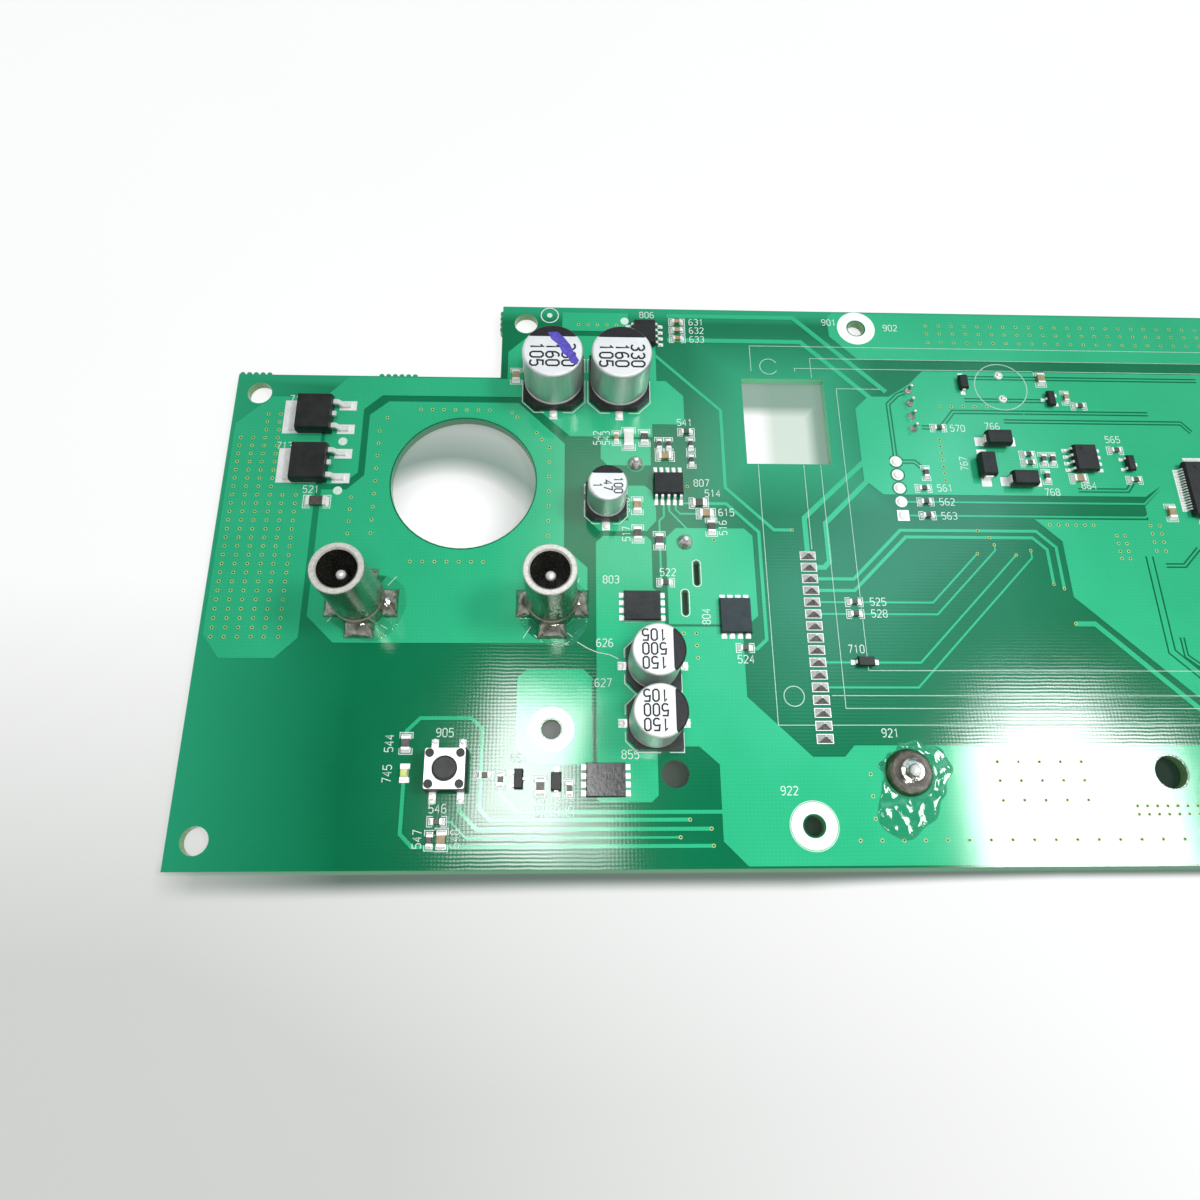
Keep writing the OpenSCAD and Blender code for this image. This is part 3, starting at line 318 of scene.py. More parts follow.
def sleeve_material():
    """Plated sleeve, paler and less metallic on the upward faces near its top."""
    mat, tree, bsdf = node_tree("jack_metal")
    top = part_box("left_jack_sleeve")[1].z
    high = span(tree, axes(tree, coords(tree))["Z"], 0, 1, top - 2 * MM, top - MM)
    up = calc(tree, "MULTIPLY", facing_up(tree, 0.3, 0.8), high)
    scuff = noise(tree, 0.5, detail=6, rough=0.7)
    side = mix(tree, span(tree, scuff, 0, 1), (0.24, 0.24, 0.19), (0.38, 0.37, 0.32))
    rim = mix(tree, span(tree, scuff, 0, 1), (0.42, 0.41, 0.37), (0.72, 0.70, 0.65))
    link(tree, mix(tree, up, side, rim), bsdf.inputs["Base Color"])
    link(tree, span(tree, up, 0.95, 0.4, 0, 1), bsdf.inputs["Metallic"])
    rough = calc(tree, "ADD", span(tree, scuff, 0.18, 0.3), span(tree, up, 0, 0.2, 0, 1))
    link(tree, rough, bsdf.inputs["Roughness"])
    bump(tree, bsdf, scuff, 0.01, 0.5)
    return mat


def pin_material():
    """Pins with bright ends and duller sides."""
    mat, tree, bsdf = node_tree("pin_metal")
    up = facing_up(tree, 0.3, 0.7)
    grain = noise(tree, 0.2, detail=6)
    side = mix(tree, span(tree, grain, 0, 1), (0.36, 0.35, 0.32), (0.52, 0.51, 0.48))
    end = mix(tree, span(tree, grain, 0, 1), (0.76, 0.75, 0.72), (0.88, 0.87, 0.85))
    link(tree, mix(tree, up, side, end), bsdf.inputs["Base Color"])
    link(tree, span(tree, up, 0.9, 0.3, 0, 1), bsdf.inputs["Metallic"])
    link(tree, span(tree, grain, 0.16, 0.3), bsdf.inputs["Roughness"])
    bump(tree, bsdf, grain, 0.01)
    return mat


def heap_material():
    """Solder heaps on the ribbon lands: pale flanks, and painted shade on the faces turned to the front."""
    mat, tree, bsdf = node_tree("ribbon_heap")
    front = span(tree, facing(tree)["Y"], 1, 0, -0.5, -0.2)
    grain = noise(tree, 0.3, detail=6)
    flank = mix(tree, span(tree, grain, 0, 1), (0.40, 0.41, 0.40), (0.66, 0.66, 0.64))
    # Painted shade: the faces turned to the front are dark
    painted_front_shade = mix(tree, span(tree, grain, 0, 1), (0.05, 0.05, 0.045), (0.20, 0.19, 0.17))
    link(tree, mix(tree, front, flank, painted_front_shade), bsdf.inputs["Base Color"])
    bsdf.inputs["Metallic"].default_value = 0.3
    link(tree, span(tree, grain, 0.25, 0.45), bsdf.inputs["Roughness"])
    bump(tree, bsdf, grain, 0.04)
    return mat


def dome_material():
    """Big solder dome: mirror grey above, burnt brown towards its foot."""
    mat, tree, bsdf = node_tree("stud_dome")
    up = facing_up(tree, 0.35, 0.85)
    lump = noise(tree, 1.4, detail=3)
    foot = mix(tree, span(tree, lump, 0, 1), (0.07, 0.06, 0.03), (0.20, 0.17, 0.10))
    crown = mix(tree, span(tree, lump, 0, 1), (0.24, 0.22, 0.19), (0.46, 0.44, 0.40))
    link(tree, mix(tree, up, foot, crown), bsdf.inputs["Base Color"])
    bsdf.inputs["Metallic"].default_value = 0.9
    link(tree, span(tree, lump, 0.08, 0.2), bsdf.inputs["Roughness"])
    bump(tree, bsdf, lump, 0.09)
    return mat


def clear_film(name, tint, pale, alpha):
    """Thin dried flux: a clear glossy skin with ripples."""
    mat, tree, bsdf = node_tree(name)
    ripple = noise(tree, 1.1, detail=3)
    link(tree, mix(tree, span(tree, ripple, 0, 1), tint, pale), bsdf.inputs["Base Color"])
    link(tree, span(tree, ripple, 0.02, 0.06), bsdf.inputs["Roughness"])
    bsdf.inputs["Alpha"].default_value = alpha
    bsdf.inputs["Specular IOR Level"].default_value = 1
    bsdf.inputs["Coat Weight"].default_value = 0.5
    bsdf.inputs["Coat Roughness"].default_value = 0.03
    bump(tree, bsdf, ripple, 0.02)
    return mat


MASK_DARK = ((0.001, 0.148, 0.058), (0.002, 0.172, 0.070))
MASK_LIGHT = ((0.024, 0.405, 0.192), (0.030, 0.442, 0.213))
# Colour of the painted light along the board's edges and round the window
MASK_PAINTED_RIM_LIGHT = (0.020, 0.330, 0.165)
TIN = ((0.76, 0.76, 0.74), (0.88, 0.88, 0.86))
BLACK = ((0.010,) * 3, (0.022,) * 3)

MATERIALS = {
    "laminate": mask_material("laminate", *MASK_DARK, 0.10, 0.0026, 0.006, rim=MASK_PAINTED_RIM_LIGHT),
    "mask_copper": mask_material("mask_copper", *MASK_LIGHT, 0.09, 0.0007, 0.008),
    "solder": plain_surface("solder", *TIN, 1.2, (0.3, 0.42), metallic=0.25, depth_mm=0.012),
    "can_metal": can_material(),
    "base_plastic": plain_surface("base_plastic", *BLACK, 2, (0.35, 0.5), shine=0.3),
    "jack_metal": sleeve_material(),
    "insulator": plain_surface("insulator", (0.006,) * 3, (0.012,) * 3, 2, (0.45, 0.6), depth_mm=0.003),
    "pin_metal": pin_material(),
    "cover_steel": plain_surface("cover_steel", (0.70, 0.70, 0.69), (0.82, 0.82, 0.81), 1.5, (0.3, 0.42),
                                 metallic=0.5),
    "dome_steel": plain_surface("dome_steel", (0.66, 0.66, 0.65), (0.78, 0.78, 0.77), 1, (0.2, 0.3),
                                metallic=1),
    "switch_plastic": plain_surface("switch_plastic", *BLACK, 2, (0.4, 0.55)),
    "plunger_plastic": plain_surface("plunger_plastic", (0.014,) * 3, (0.03,) * 3, 1.2, (0.4, 0.55)),
    "lens": plain_surface("lens", (0.50, 0.62, 0.12), (0.68, 0.74, 0.24), 0.6, (0.12, 0.2), coat=0.5),
    "led_carrier": plain_surface("led_carrier", (0.74, 0.73, 0.66), (0.84, 0.83, 0.78), 0.8, (0.4, 0.5)),
    "ceramic": plain_surface("ceramic", (0.27, 0.19, 0.09), (0.41, 0.30, 0.15), 0.8, (0.3, 0.45)),
    "resistor_glaze": plain_surface("resistor_glaze", (0.040, 0.036, 0.032), (0.10, 0.085, 0.07), 0.6,
                                    (0.28, 0.4)),
    "lead_tin": plain_surface("lead_tin", *TIN, 0.7, (0.26, 0.4), metallic=0.4),
    "package_plastic": plain_surface("package_plastic", *BLACK, 1.6, (0.32, 0.44), grain_mm=0.12,
                                     shine=0.3),
}
INK_WHITE = plain_surface("ink_white", (0.50, 0.66, 0.58), (0.66, 0.79, 0.72), 0.5, (0.35, 0.5))
INK_FAINT = plain_surface("ink_faint", (0.26, 0.50, 0.40), (0.40, 0.62, 0.52), 0.6, (0.35, 0.5))
INK_GREY = plain_surface("ink_grey", (0.07, 0.07, 0.068), (0.15, 0.15, 0.145), 0.4, (0.35, 0.5))
INK_BLACK = plain_surface("ink_black", (0.010,) * 3, (0.022, 0.020, 0.026), 0.5, (0.4, 0.5), shine=0.25)
VIA_GOLD = plain_surface("via_gold", (0.26, 0.44, 0.11), (0.48, 0.56, 0.20), 0.8, (0.3, 0.45))
# Painted shade that stands for the via holes
VIA_HOLE_SHADE = plain_surface("via_hole_shade", (0.006, 0.020, 0.010), (0.012, 0.035, 0.018), 0.5, (0.4, 0.6),
                         shine=0.1)
MARKER = plain_surface("marker", (0.045, 0.030, 0.34), (0.12, 0.09, 0.52), 0.5, (0.35, 0.5))
PALE_CHIP = plain_surface("pale_chip", (0.60, 0.59, 0.54), (0.76, 0.75, 0.70), 0.5, (0.25, 0.4))
SOLDER_BURNT = plain_surface("solder_burnt", (0.20, 0.20, 0.15), (0.56, 0.57, 0.50), 1, (0.06, 0.16),
                             metallic=0.95, depth_mm=0.03, coat=0.3, grain_mm=0.5)
SOLDER_SHINY = plain_surface("solder_shiny", (0.24, 0.23, 0.21), (0.96, 0.95, 0.92), 0.9, (0.08, 0.16),
                             metallic=0.75, depth_mm=0.07, grain_mm=0.7)
RING_TIN = plain_surface("ring_tin", (0.86, 0.88, 0.85), (0.97, 0.98, 0.96), 1, (0.32, 0.45),
                         metallic=0.04)
BODY_GLOSS = plain_surface("body_gloss", *BLACK, 1.6, (0.12, 0.2), grain_mm=0.5, depth_mm=0.012,
                           shine=0.45)
FLUX_CLEAR = clear_film("flux_clear", (0.024, 0.400, 0.195), (0.06, 0.48, 0.26), 0.35)
FLUX_THIN = clear_film("flux_thin", (0.024, 0.380, 0.185), (0.06, 0.45, 0.24), 0.14)
FLUX_WHITE = plain_surface("flux_white", (0.46, 0.58, 0.50), (0.66, 0.74, 0.68), 0.4, (0.2, 0.4))

SLOT_OF = {s["node"]: s["material_slot"] for s in frame["record"]["subparts"]}
OWN_FINISH = {
    "stud_solder": dome_material(), "pin_solder": SOLDER_SHINY,
    "ribbon_solder": heap_material(), "power_transistor_bodies": BODY_GLOSS, "plated_rings": RING_TIN,
}
for name, obj in NODES.items():
    obj.data.materials.clear()
    obj.data.materials.append(OWN_FINISH.get(name, MATERIALS[SLOT_OF[name]]))


# Thin printed shapes, films and small drops

def turns(n):
    return [2 * math.pi * i / n for i in range(n)]


class Flat:
    """Collects thin closed shapes into one mesh piece."""

    def __init__(self, thick_mm=INK_MM):
        self.bm = bmesh.new()
        self.thick = thick_mm * MM

    def prism(self, low, high=None):
        """A closed prism over a ring of points, up by the piece's thickness."""
        top = high or [p + Vector((0, 0, self.thick)) for p in low]
        a = [self.bm.verts.new(p) for p in low]
        b = [self.bm.verts.new(p) for p in top]
        self.bm.faces.new(b)
        self.bm.faces.new(a[::-1])
        for i in range(len(a)):
            j = (i + 1) % len(a)
            self.bm.faces.new((a[i], a[j], b[j], b[i]))

    def disc(self, x, y, r, n=20, z=None):
        self.prism([at(x + r * math.cos(t), y + r * math.sin(t), z) for t in turns(n)])

    def annulus(self, x, y, r0, r1, n=20, start=0.0, sweep=360.0, z=None):
        """A ring, or part of one, as a chain of small prisms."""
        steps = max(3, round(n * sweep / 360))
        ts = [math.radians(start + sweep * i / steps) for i in range(steps + 1)]
        for t, u in zip(ts, ts[1:]):
            self.prism([at(x + r * math.cos(v), y + r * math.sin(v), z)
                        for r, v in ((r0, t), (r1, t), (r1, u), (r0, u))])

    def line(self, pts, w, z=None):
        """A stroke of even width through the points, mitred at its corners."""
        n = len(pts)
        sides = []
        for i in range(n - 1):
            dx, dy = pts[i + 1][0] - pts[i][0], pts[i + 1][1] - pts[i][1]
            d = math.hypot(dx, dy)
            sides.append((-dy / d, dx / d))
        rails = []
        for i in range(n):
            a, b = sides[max(i - 1, 0)], sides[min(i, n - 2)]
            k = w / 2 / max(1 + a[0] * b[0] + a[1] * b[1], 0.4)
            rails.append(((a[0] + b[0]) * k, (a[1] + b[1]) * k))
        for i in range(n - 1):
            (x0, y0), (x1, y1) = pts[i], pts[i + 1]
            (u0, v0), (u1, v1) = rails[i], rails[i + 1]
            self.prism([at(x0 - u0, y0 - v0, z), at(x1 - u1, y1 - v1, z),
                        at(x1 + u1, y1 + v1, z), at(x0 + u0, y0 + v0, z)])

    def number(self, text, x, y, height, turn=0, weight=0.12, z=None):
        """Digits centred at a place, drawn as strokes."""
        w, gap = height * DIGIT_W, height * DIGIT_GAP
        c, s = math.cos(math.radians(turn)), math.sin(math.radians(turn))
        left = -(len(text) * w + (len(text) - 1) * gap) / 2
        for i, digit in enumerate(text):
            pts = []
            for px, py in DIGITS[digit]:
                u = left + i * (w + gap) + px * w
                v = (py / 2 - 0.5) * height
                pts.append((x + u * c - v * s, y + u * s + v * c))
            self.line(pts, height * weight, z)

    def skin(self, rows):
        """A closed solid of rings of points from the outside in, each a list of the same length."""
        verts = [[self.bm.verts.new(p) for p in ring] for ring in rows]
        n = len(rows[0])
        for a, b in zip(verts, verts[1:]):
            for i in range(n):
                j = (i + 1) % n
                self.bm.faces.new((a[i], a[j], b[j], b[i]))
        return verts

    def mound(self, x, y, rx, ry, rise_mm, z, rings=4, n=14):
        """A low dome on a flat foot."""
        rows = []
        for i in range(rings):
            t = math.pi / 2 * i / rings
            up = z + rise_mm * MM * math.sin(t)
            rows.append([at(x + rx * math.cos(t) * math.cos(u), y + ry * math.cos(t) * math.sin(u), up)
                         for u in turns(n)])
        verts = self.skin(rows)
        self.bm.faces.new(verts[0][::-1])
        tip = self.bm.verts.new(at(x, y, z + rise_mm * MM))
        for i in range(n):
            self.bm.faces.new((verts[-1][i], verts[-1][(i + 1) % n], tip))

    def film(self, x, y, inner, reach, rise, steps=12, n=120):
        """A closed film from a round inner edge out to reach(angle), with rise(x, y) as its height in mm."""
        def ring(share, lift):
            pts = []
            for t in turns(n):
                r = inner + (reach(t) - inner) * share
                px, py = x + r * math.cos(t), y + r * math.sin(t)
                taper = min(1, 5 * share, 5 * (1 - share))
                pts.append(at(px, py, MASK_Z + lift * (0.01 + taper * rise(px, py)) * MM))
            return pts

        shares = [i / steps for i in range(steps + 1)]
        top = [ring(s, 1) for s in reversed(shares)]
        foot = [ring(s, 0) for s in shares]
        verts = self.skin(top + foot)
        for i in range(n):
            j = (i + 1) % n
            self.bm.faces.new((verts[-1][i], verts[-1][j], verts[0][j], verts[0][i]))

    def slab(self, top, low):
        """A closed solid between two grids of points of the same shape."""
        a = [[self.bm.verts.new(p) for p in line] for line in top]
        b = [[self.bm.verts.new(p) for p in line] for line in low]
        m, n = len(a) - 1, len(a[0]) - 1
        for i in range(m):
            for j in range(n):
                self.bm.faces.new((a[i][j], a[i + 1][j], a[i + 1][j + 1], a[i][j + 1]))
                self.bm.faces.new((b[i][j], b[i][j + 1], b[i + 1][j + 1], b[i + 1][j]))
        rim = [(i, 0) for i in range(m)] + [(m, j) for j in range(n)]
        rim += [(i, n) for i in range(m, 0, -1)] + [(0, j) for j in range(n, 0, -1)]
        for (i, j), (k, l) in zip(rim, rim[1:] + rim[:1]):
            self.bm.faces.new((b[i][j], b[k][l], a[k][l], a[i][j]))

    def piece(self, name, mat, slot, smooth=False):
        bmesh.ops.recalc_face_normals(self.bm, faces=self.bm.faces)
        mesh = bpy.data.meshes.new(name)
        self.bm.to_mesh(mesh)
        self.bm.free()
        for face in mesh.polygons:
            face.use_smooth = smooth
        obj = bpy.data.objects.new(name, mesh)
        bpy.context.scene.collection.objects.link(obj)
        mesh.materials.append(mat)
        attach(obj, "board")
        return obj


# Strokes of the digits, in a box 1 wide and 2 tall
DIGIT_W, DIGIT_GAP = 0.5, 0.25
DIGITS = {
    "0": [(0, .3), (0, 1.7), (.3, 2), (.7, 2), (1, 1.7), (1, .3), (.7, 0), (.3, 0), (0, .3)],
    "1": [(.2, 1.6), (.55, 2), (.55, 0)],
    "2": [(0, 1.7), (.3, 2), (.7, 2), (1, 1.7), (1, 1.3), (0, 0), (1, 0)],
    "3": [(0, 1.8), (.3, 2), (.7, 2), (1, 1.7), (1, 1.3), (.6, 1.1), (1, .8), (1, .3), (.7, 0), (.3, 0),
          (0, .2)],
    "4": [(.75, 0), (.75, 2), (0, .6), (1, .6)],
    "5": [(1, 2), (.1, 2), (0, 1.1), (.7, 1.2), (1, .9), (1, .3), (.7, 0), (.3, 0), (0, .2)],
    "6": [(.9, 1.9), (.5, 2), (.2, 1.8), (0, 1.4), (0, .3), (.3, 0), (.7, 0), (1, .3), (1, .8), (.7, 1.1),
          (0, .9)],
    "7": [(0, 2), (1, 2), (.35, 0)],
    "8": [(.3, 1.1), (0, 1.4), (0, 1.7), (.3, 2), (.7, 2), (1, 1.7), (1, 1.4), (.7, 1.1), (.3, 1.1), (0, .8),
          (0, .3), (.3, 0), (.7, 0), (1, .3), (1, .8), (.7, 1.1)],
    "9": [(.1, .1), (.5, 0), (.8, .2), (1, .6), (1, 1.7), (.7, 2), (.3, 2), (0, 1.7), (0, 1.2), (.3, .9),
          (1, 1.1)],
}


def islands(node):
    """Boxes of a node's separate solids, in millimetres on the board: x0, y0, x1, y1, top z in metres."""
    mesh = NODES[node].data
    key = [tuple(round(c * 1e6) for c in v.co) for v in mesh.vertices]
    parent = {k: k for k in key}

    def root(k):
        while parent[k] != k:
            parent[k] = parent[parent[k]]
            k = parent[k]
        return k

    for e in mesh.edges:
        parent[root(key[e.vertices[0]])] = root(key[e.vertices[1]])
    boxes = {}
    for v, k in zip(mesh.vertices, key):
        x, y, z = (v.co.x - LOW.x) / MM, (v.co.y - LOW.y) / MM, v.co.z
        b = boxes.setdefault(root(k), [x, y, x, y, z])
        boxes[root(k)] = [min(b[0], x), min(b[1], y), max(b[2], x), max(b[3], y), max(b[4], z)]
    return sorted(boxes.values())


def middle(b):
    return (b[0] + b[2]) / 2, (b[1] + b[3]) / 2


def nearest(boxes, x, y, n=1):
    return sorted(boxes, key=lambda b: math.hypot(middle(b)[0] - x, middle(b)[1] - y))[:n]


# Faint frame lines in ink: places are millimetres from the front left corner
RIGHT_END = BOARD_W - 1
FRAME_W = 0.13
FRAME_LINES = (
    [(89.3, 65.4), (89.3, 20.8), (RIGHT_END, 20.8)],
    [(89.3, 84), (89.3, 89.3), (RIGHT_END, 89.3)],
    [(97.1, 65.4), (97.1, 49.9)],
    [(97.1, 84), (97.1, 84.7), (RIGHT_END, 84.7)],
    [(98, 25.4), (RIGHT_END, 25.4)],
    [(100, 65.4), (100, 23.4), (RIGHT_END, 23.4)],
    [(100, 82.8), (100, 86.8), (RIGHT_END, 86.8)],
    [(112, 80.6), (104.2, 80.6), (104.2, 29.4), (RIGHT_END, 29.4)],
)
# Middle, inner and outer radius, sides, start and sweep
FRAME_RINGS = (
    (92.5, 85, 1.5, 1.66, 32, 30, 300),
    (92.1, 25.3, 1.5, 1.66, 32, 0, 360),
    (133.9, 81.4, 4.6, 4.78, 56, 0, 360),
)
guides = Flat()
for pts in FRAME_LINES:
    guides.line(pts, FRAME_W)
for ring in FRAME_RINGS:
    guides.annulus(*ring)
guides.piece("frame_lines", INK_FAINT, "led_carrier")

# White ink: marks, outlines round the parts and plain numbers
TARGET = (53.5, 95.2)
FRONT_RING = (93.5, 5.9)
START_DOTS = ((67, 94.2), (19, 69), (19, 59.8))
START_DOT_R = 0.75
silk = Flat()
silk.annulus(*TARGET, 1.45, 1.65, 32)
silk.disc(*TARGET, 0.5)
silk.annulus(*FRONT_RING, 3.56, 3.68, 48)
for x, y in START_DOTS:
    silk.disc(x, y, START_DOT_R)

OUTLINE_W = 0.15
OUTLINE_GAP = 0.24
CUT_SHARE = 0.2
# The way the cut corners of each base point
CAP_FRONTS = (
    ("large_capacitor_bases", -90),
    ("small_capacitor_base", -90),
    ("medium_capacitor_bases", 180),
)
for node, front in CAP_FRONTS:
    c, s = math.cos(math.radians(front + 90)), math.sin(math.radians(front + 90))
    for box in islands(node):
        x, y = middle(box)
        e = (box[2] - box[0]) / 2 + OUTLINE_GAP
        cut = (box[2] - box[0]) * CUT_SHARE
        for side in (-1, 1):
            corner = [(e, 0.2 * e), (e, cut - e), (e - cut, -e), (0.3 * e, -e)]
            rear = [(e, 0.5 * e), (e, e), (0.3 * e, e)]
            for pts in (corner, rear):
                silk.line([(x + side * u * c - v * s, y + side * u * s + v * c) for u, v in pts], OUTLINE_W)
SLOTS = ((77.9, 45.55), (75.85, 40.5))
SLOT_R, SLOT_HALF = 0.66, 1.65
for x, y in SLOTS:
    ends = [(x + SLOT_R * math.cos(math.radians(a)), y + SLOT_HALF + SLOT_R * math.sin(math.radians(a)))
            for a in range(0, 181, 20)]
    ends += [(2 * x - u, 2 * y - v) for u, v in ends]
    silk.line(ends + ends[:1], OUTLINE_W)

# Each chip gets corner brackets in ink and a solder fillet at both ends
GAP_ALONG, GAP_ACROSS = 0.62, 0.34
CHIP_INK_W = 0.13
BRACKET_ARM = 0.28
FILLET_RISE, FILLET_REACH, FILLET_FOOT = 0.7, 0.34, 0.03
fillets = Flat()


def turned(along_x, pts):
    """Points given along and across a chip, as X and Y."""
    return [(u, v) if along_x else (v, u) for u, v in pts]


def fillet(end, along_x, out):
    """A wedge of solder from a chip's plated end down to its land."""
    lo, hi = (end[1], end[3]) if along_x else (end[0], end[2])
    face = (end[2] if out > 0 else end[0]) if along_x else (end[3] if out > 0 else end[1])
    foot = face + out * FILLET_REACH
    quad = turned(along_x, [(face, lo), (foot, lo), (foot, hi), (face, hi)])
    rise = LAND_Z + (end[4] - LAND_Z) * FILLET_RISE
    levels = (rise, LAND_Z + FILLET_FOOT * MM, LAND_Z + FILLET_FOOT * MM, rise)
    low = [at(x, y, LAND_Z) for x, y in quad]
    high = [at(x, y, z) for (x, y), z in zip(quad, levels)]
    if (out > 0) != along_x:
        low, high = low[::-1], high[::-1]
    fillets.prism(low, high)


for kind in ("resistor", "ceramic"):
    ends = islands(kind + "_ends")
    for body in islands(kind + "_bodies"):
        cx, cy = middle(body)
        a, b = nearest(ends, cx, cy, 2)
        along_x = abs(middle(a)[0] - middle(b)[0]) > abs(middle(a)[1] - middle(b)[1])
        i, j = (0, 1) if along_x else (1, 0)
        u0, u1 = min(a[i], b[i]) - GAP_ALONG, max(a[i + 2], b[i + 2]) + GAP_ALONG
        v0, v1 = min(a[j], b[j]) - GAP_ACROSS, max(a[j + 2], b[j + 2]) + GAP_ACROSS
        arm = (u1 - u0) * BRACKET_ARM
        for u, d in ((u0, arm), (u1, -arm)):
            silk.line(turned(along_x, [(u + d, v0), (u, v0), (u, v1), (u + d, v1)]), CHIP_INK_W)
        for end in (a, b):
            fillet(end, along_x, 1 if middle(end)[i] > (cx, cy)[i] else -1)
fillets.piece("chip_fillets", MATERIALS["solder"], "solder")

# Plain numbers where the board carries part labels: number, place, turn
NUMBERS = [
    ("712", 10.6, 77.2, 0), ("713", 9.4, 68.1, 0), ("521", 14.6, 60, 0), ("806", 71, 95.6, 0),
    ("631", 79.9, 94.2, 0), ("632", 79.9, 92.4, 0), ("633", 79.9, 90.5, 0), ("541", 77, 73.4, 0),
    ("542", 61.9, 70.2, 90), ("543", 63.4, 70.2, 90), ("807", 79.4, 61.8, 0), ("514", 81.2, 59.9, 0),
    ("615", 83.3, 56.4, 0), ("516", 82.6, 53.6, 90), ("517", 66.6, 52.4, 90), ("618", 66.6, 57.6, 90),
    ("522", 73.2, 45.7, 0), ("803", 64, 44.4, 0), ("804", 79.1, 38.2, 90), ("524", 85, 31.2, 0),
    ("626", 62.9, 33.8, 0), ("627", 62.6, 27.4, 0), ("525", 107, 40.8, 0), ("528", 107, 38.8, 0),
    ("710", 102.6, 32.9, 0), ("921", 106.4, 19.6, 0), ("922", 90.2, 11, 0), ("905", 38.8, 19.7, 0),
    ("544", 30.6, 18.1, 90), ("745", 30.6, 13.6, 90), ("546", 38.3, 8.6, 0), ("547", 35.6, 4.3, 90),
    ("648", 41, 4.3, 90), ("851", 50, 15.9, 0), ("552", 53.2, 8.6, 90), ("753", 55.6, 8.6, 90),
    ("554", 57.5, 8.6, 90), ("561", 120.9, 61.3, 0), ("562", 120.9, 58.7, 0), ("563", 120.9, 56.1, 0),
    ("864", 146, 62, 0), ("565", 152, 71, 0), ("766", 131, 73.4, 0), ("767", 124.9, 66, 90),
    ("768", 139.4, 60.7, 0), ("901", 104.2, 94.6, 0), ("902", 115.4, 93.6, 0), ("855", 66.6, 16.4, 0),
    ("570", 124.8, 72.9, 0),
]
LABEL_H = 1.25
LABEL_INK = 0.11
for text, x, y, turn in NUMBERS:
    silk.number(text, x, y, LABEL_H, turn, LABEL_INK)
silk.piece("silk_print", INK_WHITE, "led_carrier")

# Pale glaze on the one light chip
GLAZE_MM = 0.02
LIGHT_CHIP = (67.3, 70.1)
x0, y0, x1, y1, chip_top = nearest(islands("resistor_bodies"), *LIGHT_CHIP)[0]
glaze = Flat()
corners = [(x0 - GLAZE_MM, y0 - GLAZE_MM), (x1 + GLAZE_MM, y0 - GLAZE_MM),
           (x1 + GLAZE_MM, y1 + GLAZE_MM), (x0 - GLAZE_MM, y1 + GLAZE_MM)]
glaze_top = chip_top + GLAZE_MM * MM
glaze.prism([at(x, y, LAND_Z) for x, y in corners], [at(x, y, glaze_top) for x, y in corners])
glaze.piece("light_chip_glaze", PALE_CHIP, "led_carrier")

# Drops of solder on the ends of the capacitor leads and the switch legs
drops = Flat()
DROP_RISE = 0.42
# Leads, the bodies they come from and the drop's radius
DROPS = [
    ("large_capacitor_leads", "large_capacitor_cans", 0.62),
    ("small_capacitor_leads", "small_capacitor_can", 0.5),
    ("medium_capacitor_leads", "medium_capacitor_cans", 0.58),
    ("switch_terminals", "switch_plunger", 0.5),
]
for leads, bodies, r in DROPS:
    for lead in islands(leads):
        x, y = middle(lead)
        bx, by = middle(nearest(islands(bodies), x, y)[0])
        if leads == "switch_terminals" or abs(y - by) > abs(x - bx):
            y = lead[3] if y > by else lead[1]
        else:
            x = lead[2] if x > bx else lead[0]
        drops.mound(x, y, r, r, DROP_RISE, LAND_Z)
LOW_PIN = 0.8
PAD_DROP = (0.78, 0.46)
for pin in islands("through_pins"):
    if pin[4] < LAND_Z + LOW_PIN * MM:
        drops.mound(*middle(pin), PAD_DROP[0], PAD_DROP[0], PAD_DROP[1], MASK_Z)
drops.piece("lead_drops", RING_TIN, "solder", smooth=True)

# Plated vias: rings with dark middles, painted shade for the holes
vias = []
LEFT_COLUMNS = [(1.95, 71), (4, 71), (6, 75.5), (8.1, 75.5), (10.1, 60.3), (12.3, 60.3)]
LEFT_START = 34.6
VIA_STEP = 1.52
for x, top in LEFT_COLUMNS:
    y = LEFT_START
    while y <= top:
        vias.append((x, y))
        y += VIA_STEP


def row(x, y, dx, dy, n):
    return [(x + i * dx, y + i * dy) for i in range(n)]


vias += row(31.7, 75.4, 1.96, 0, 7) + row(31.7, 47.3, 1.95, 0, 7) + row(25, 52.2, 0, 2.36, 9)
vias += row(53.8, 51.9, 0, 2.72, 7) + row(21.3, 52.1, 0, 2.17, 4) + row(58.7, 93.3, 1.7, 0, 5)
vias += [(47.3, 75), (48.2, 74.1), (26.1, 73.7), (51.6, 71.1), (52.5, 69.8)]
vias += [(75.4, 35.4), (77.4, 35.4), (77.4, 33.4), (77.5, 31.4), (77, 61.1), (81, 51.4)]
vias += [(75.2, 6.9), (78.3, 5.6), (73.7, 4.4), (78.5, 3.2), (94.1, 53.3), (124.6, 49.3), (127.7, 50.9)]
vias += [(131.1, 49.1), (133.7, 49.9), (136.5, 44), (138.1, 43.2), (138.8, 37.2)]
vias += [(125.3, 53.4), (127.1, 52.2)]
vias += row(100.1, 3.8, 3.24, 0, 16) + row(102.7, 6.9, 0, 3.25, 3)
vias += row(142.6, 8.6, 1.55, 0, 20) + row(142.6, 7.4, 1.55, 0, 20)
for y in (15.2, 12.4, 9.5):
    vias += row(122.3, y, 3.25, 0, 5)
vias += row(121.3, 62.8, 0, 1.3, 7) + row(122.3, 77.3, 2.1, 0, 5) + row(137.8, 54.6, 1.5, 0, 6)
for y in (52.7, 51.3, 49.9, 48.6):
    vias += row(148.9, y, 1.4, 0, 2)
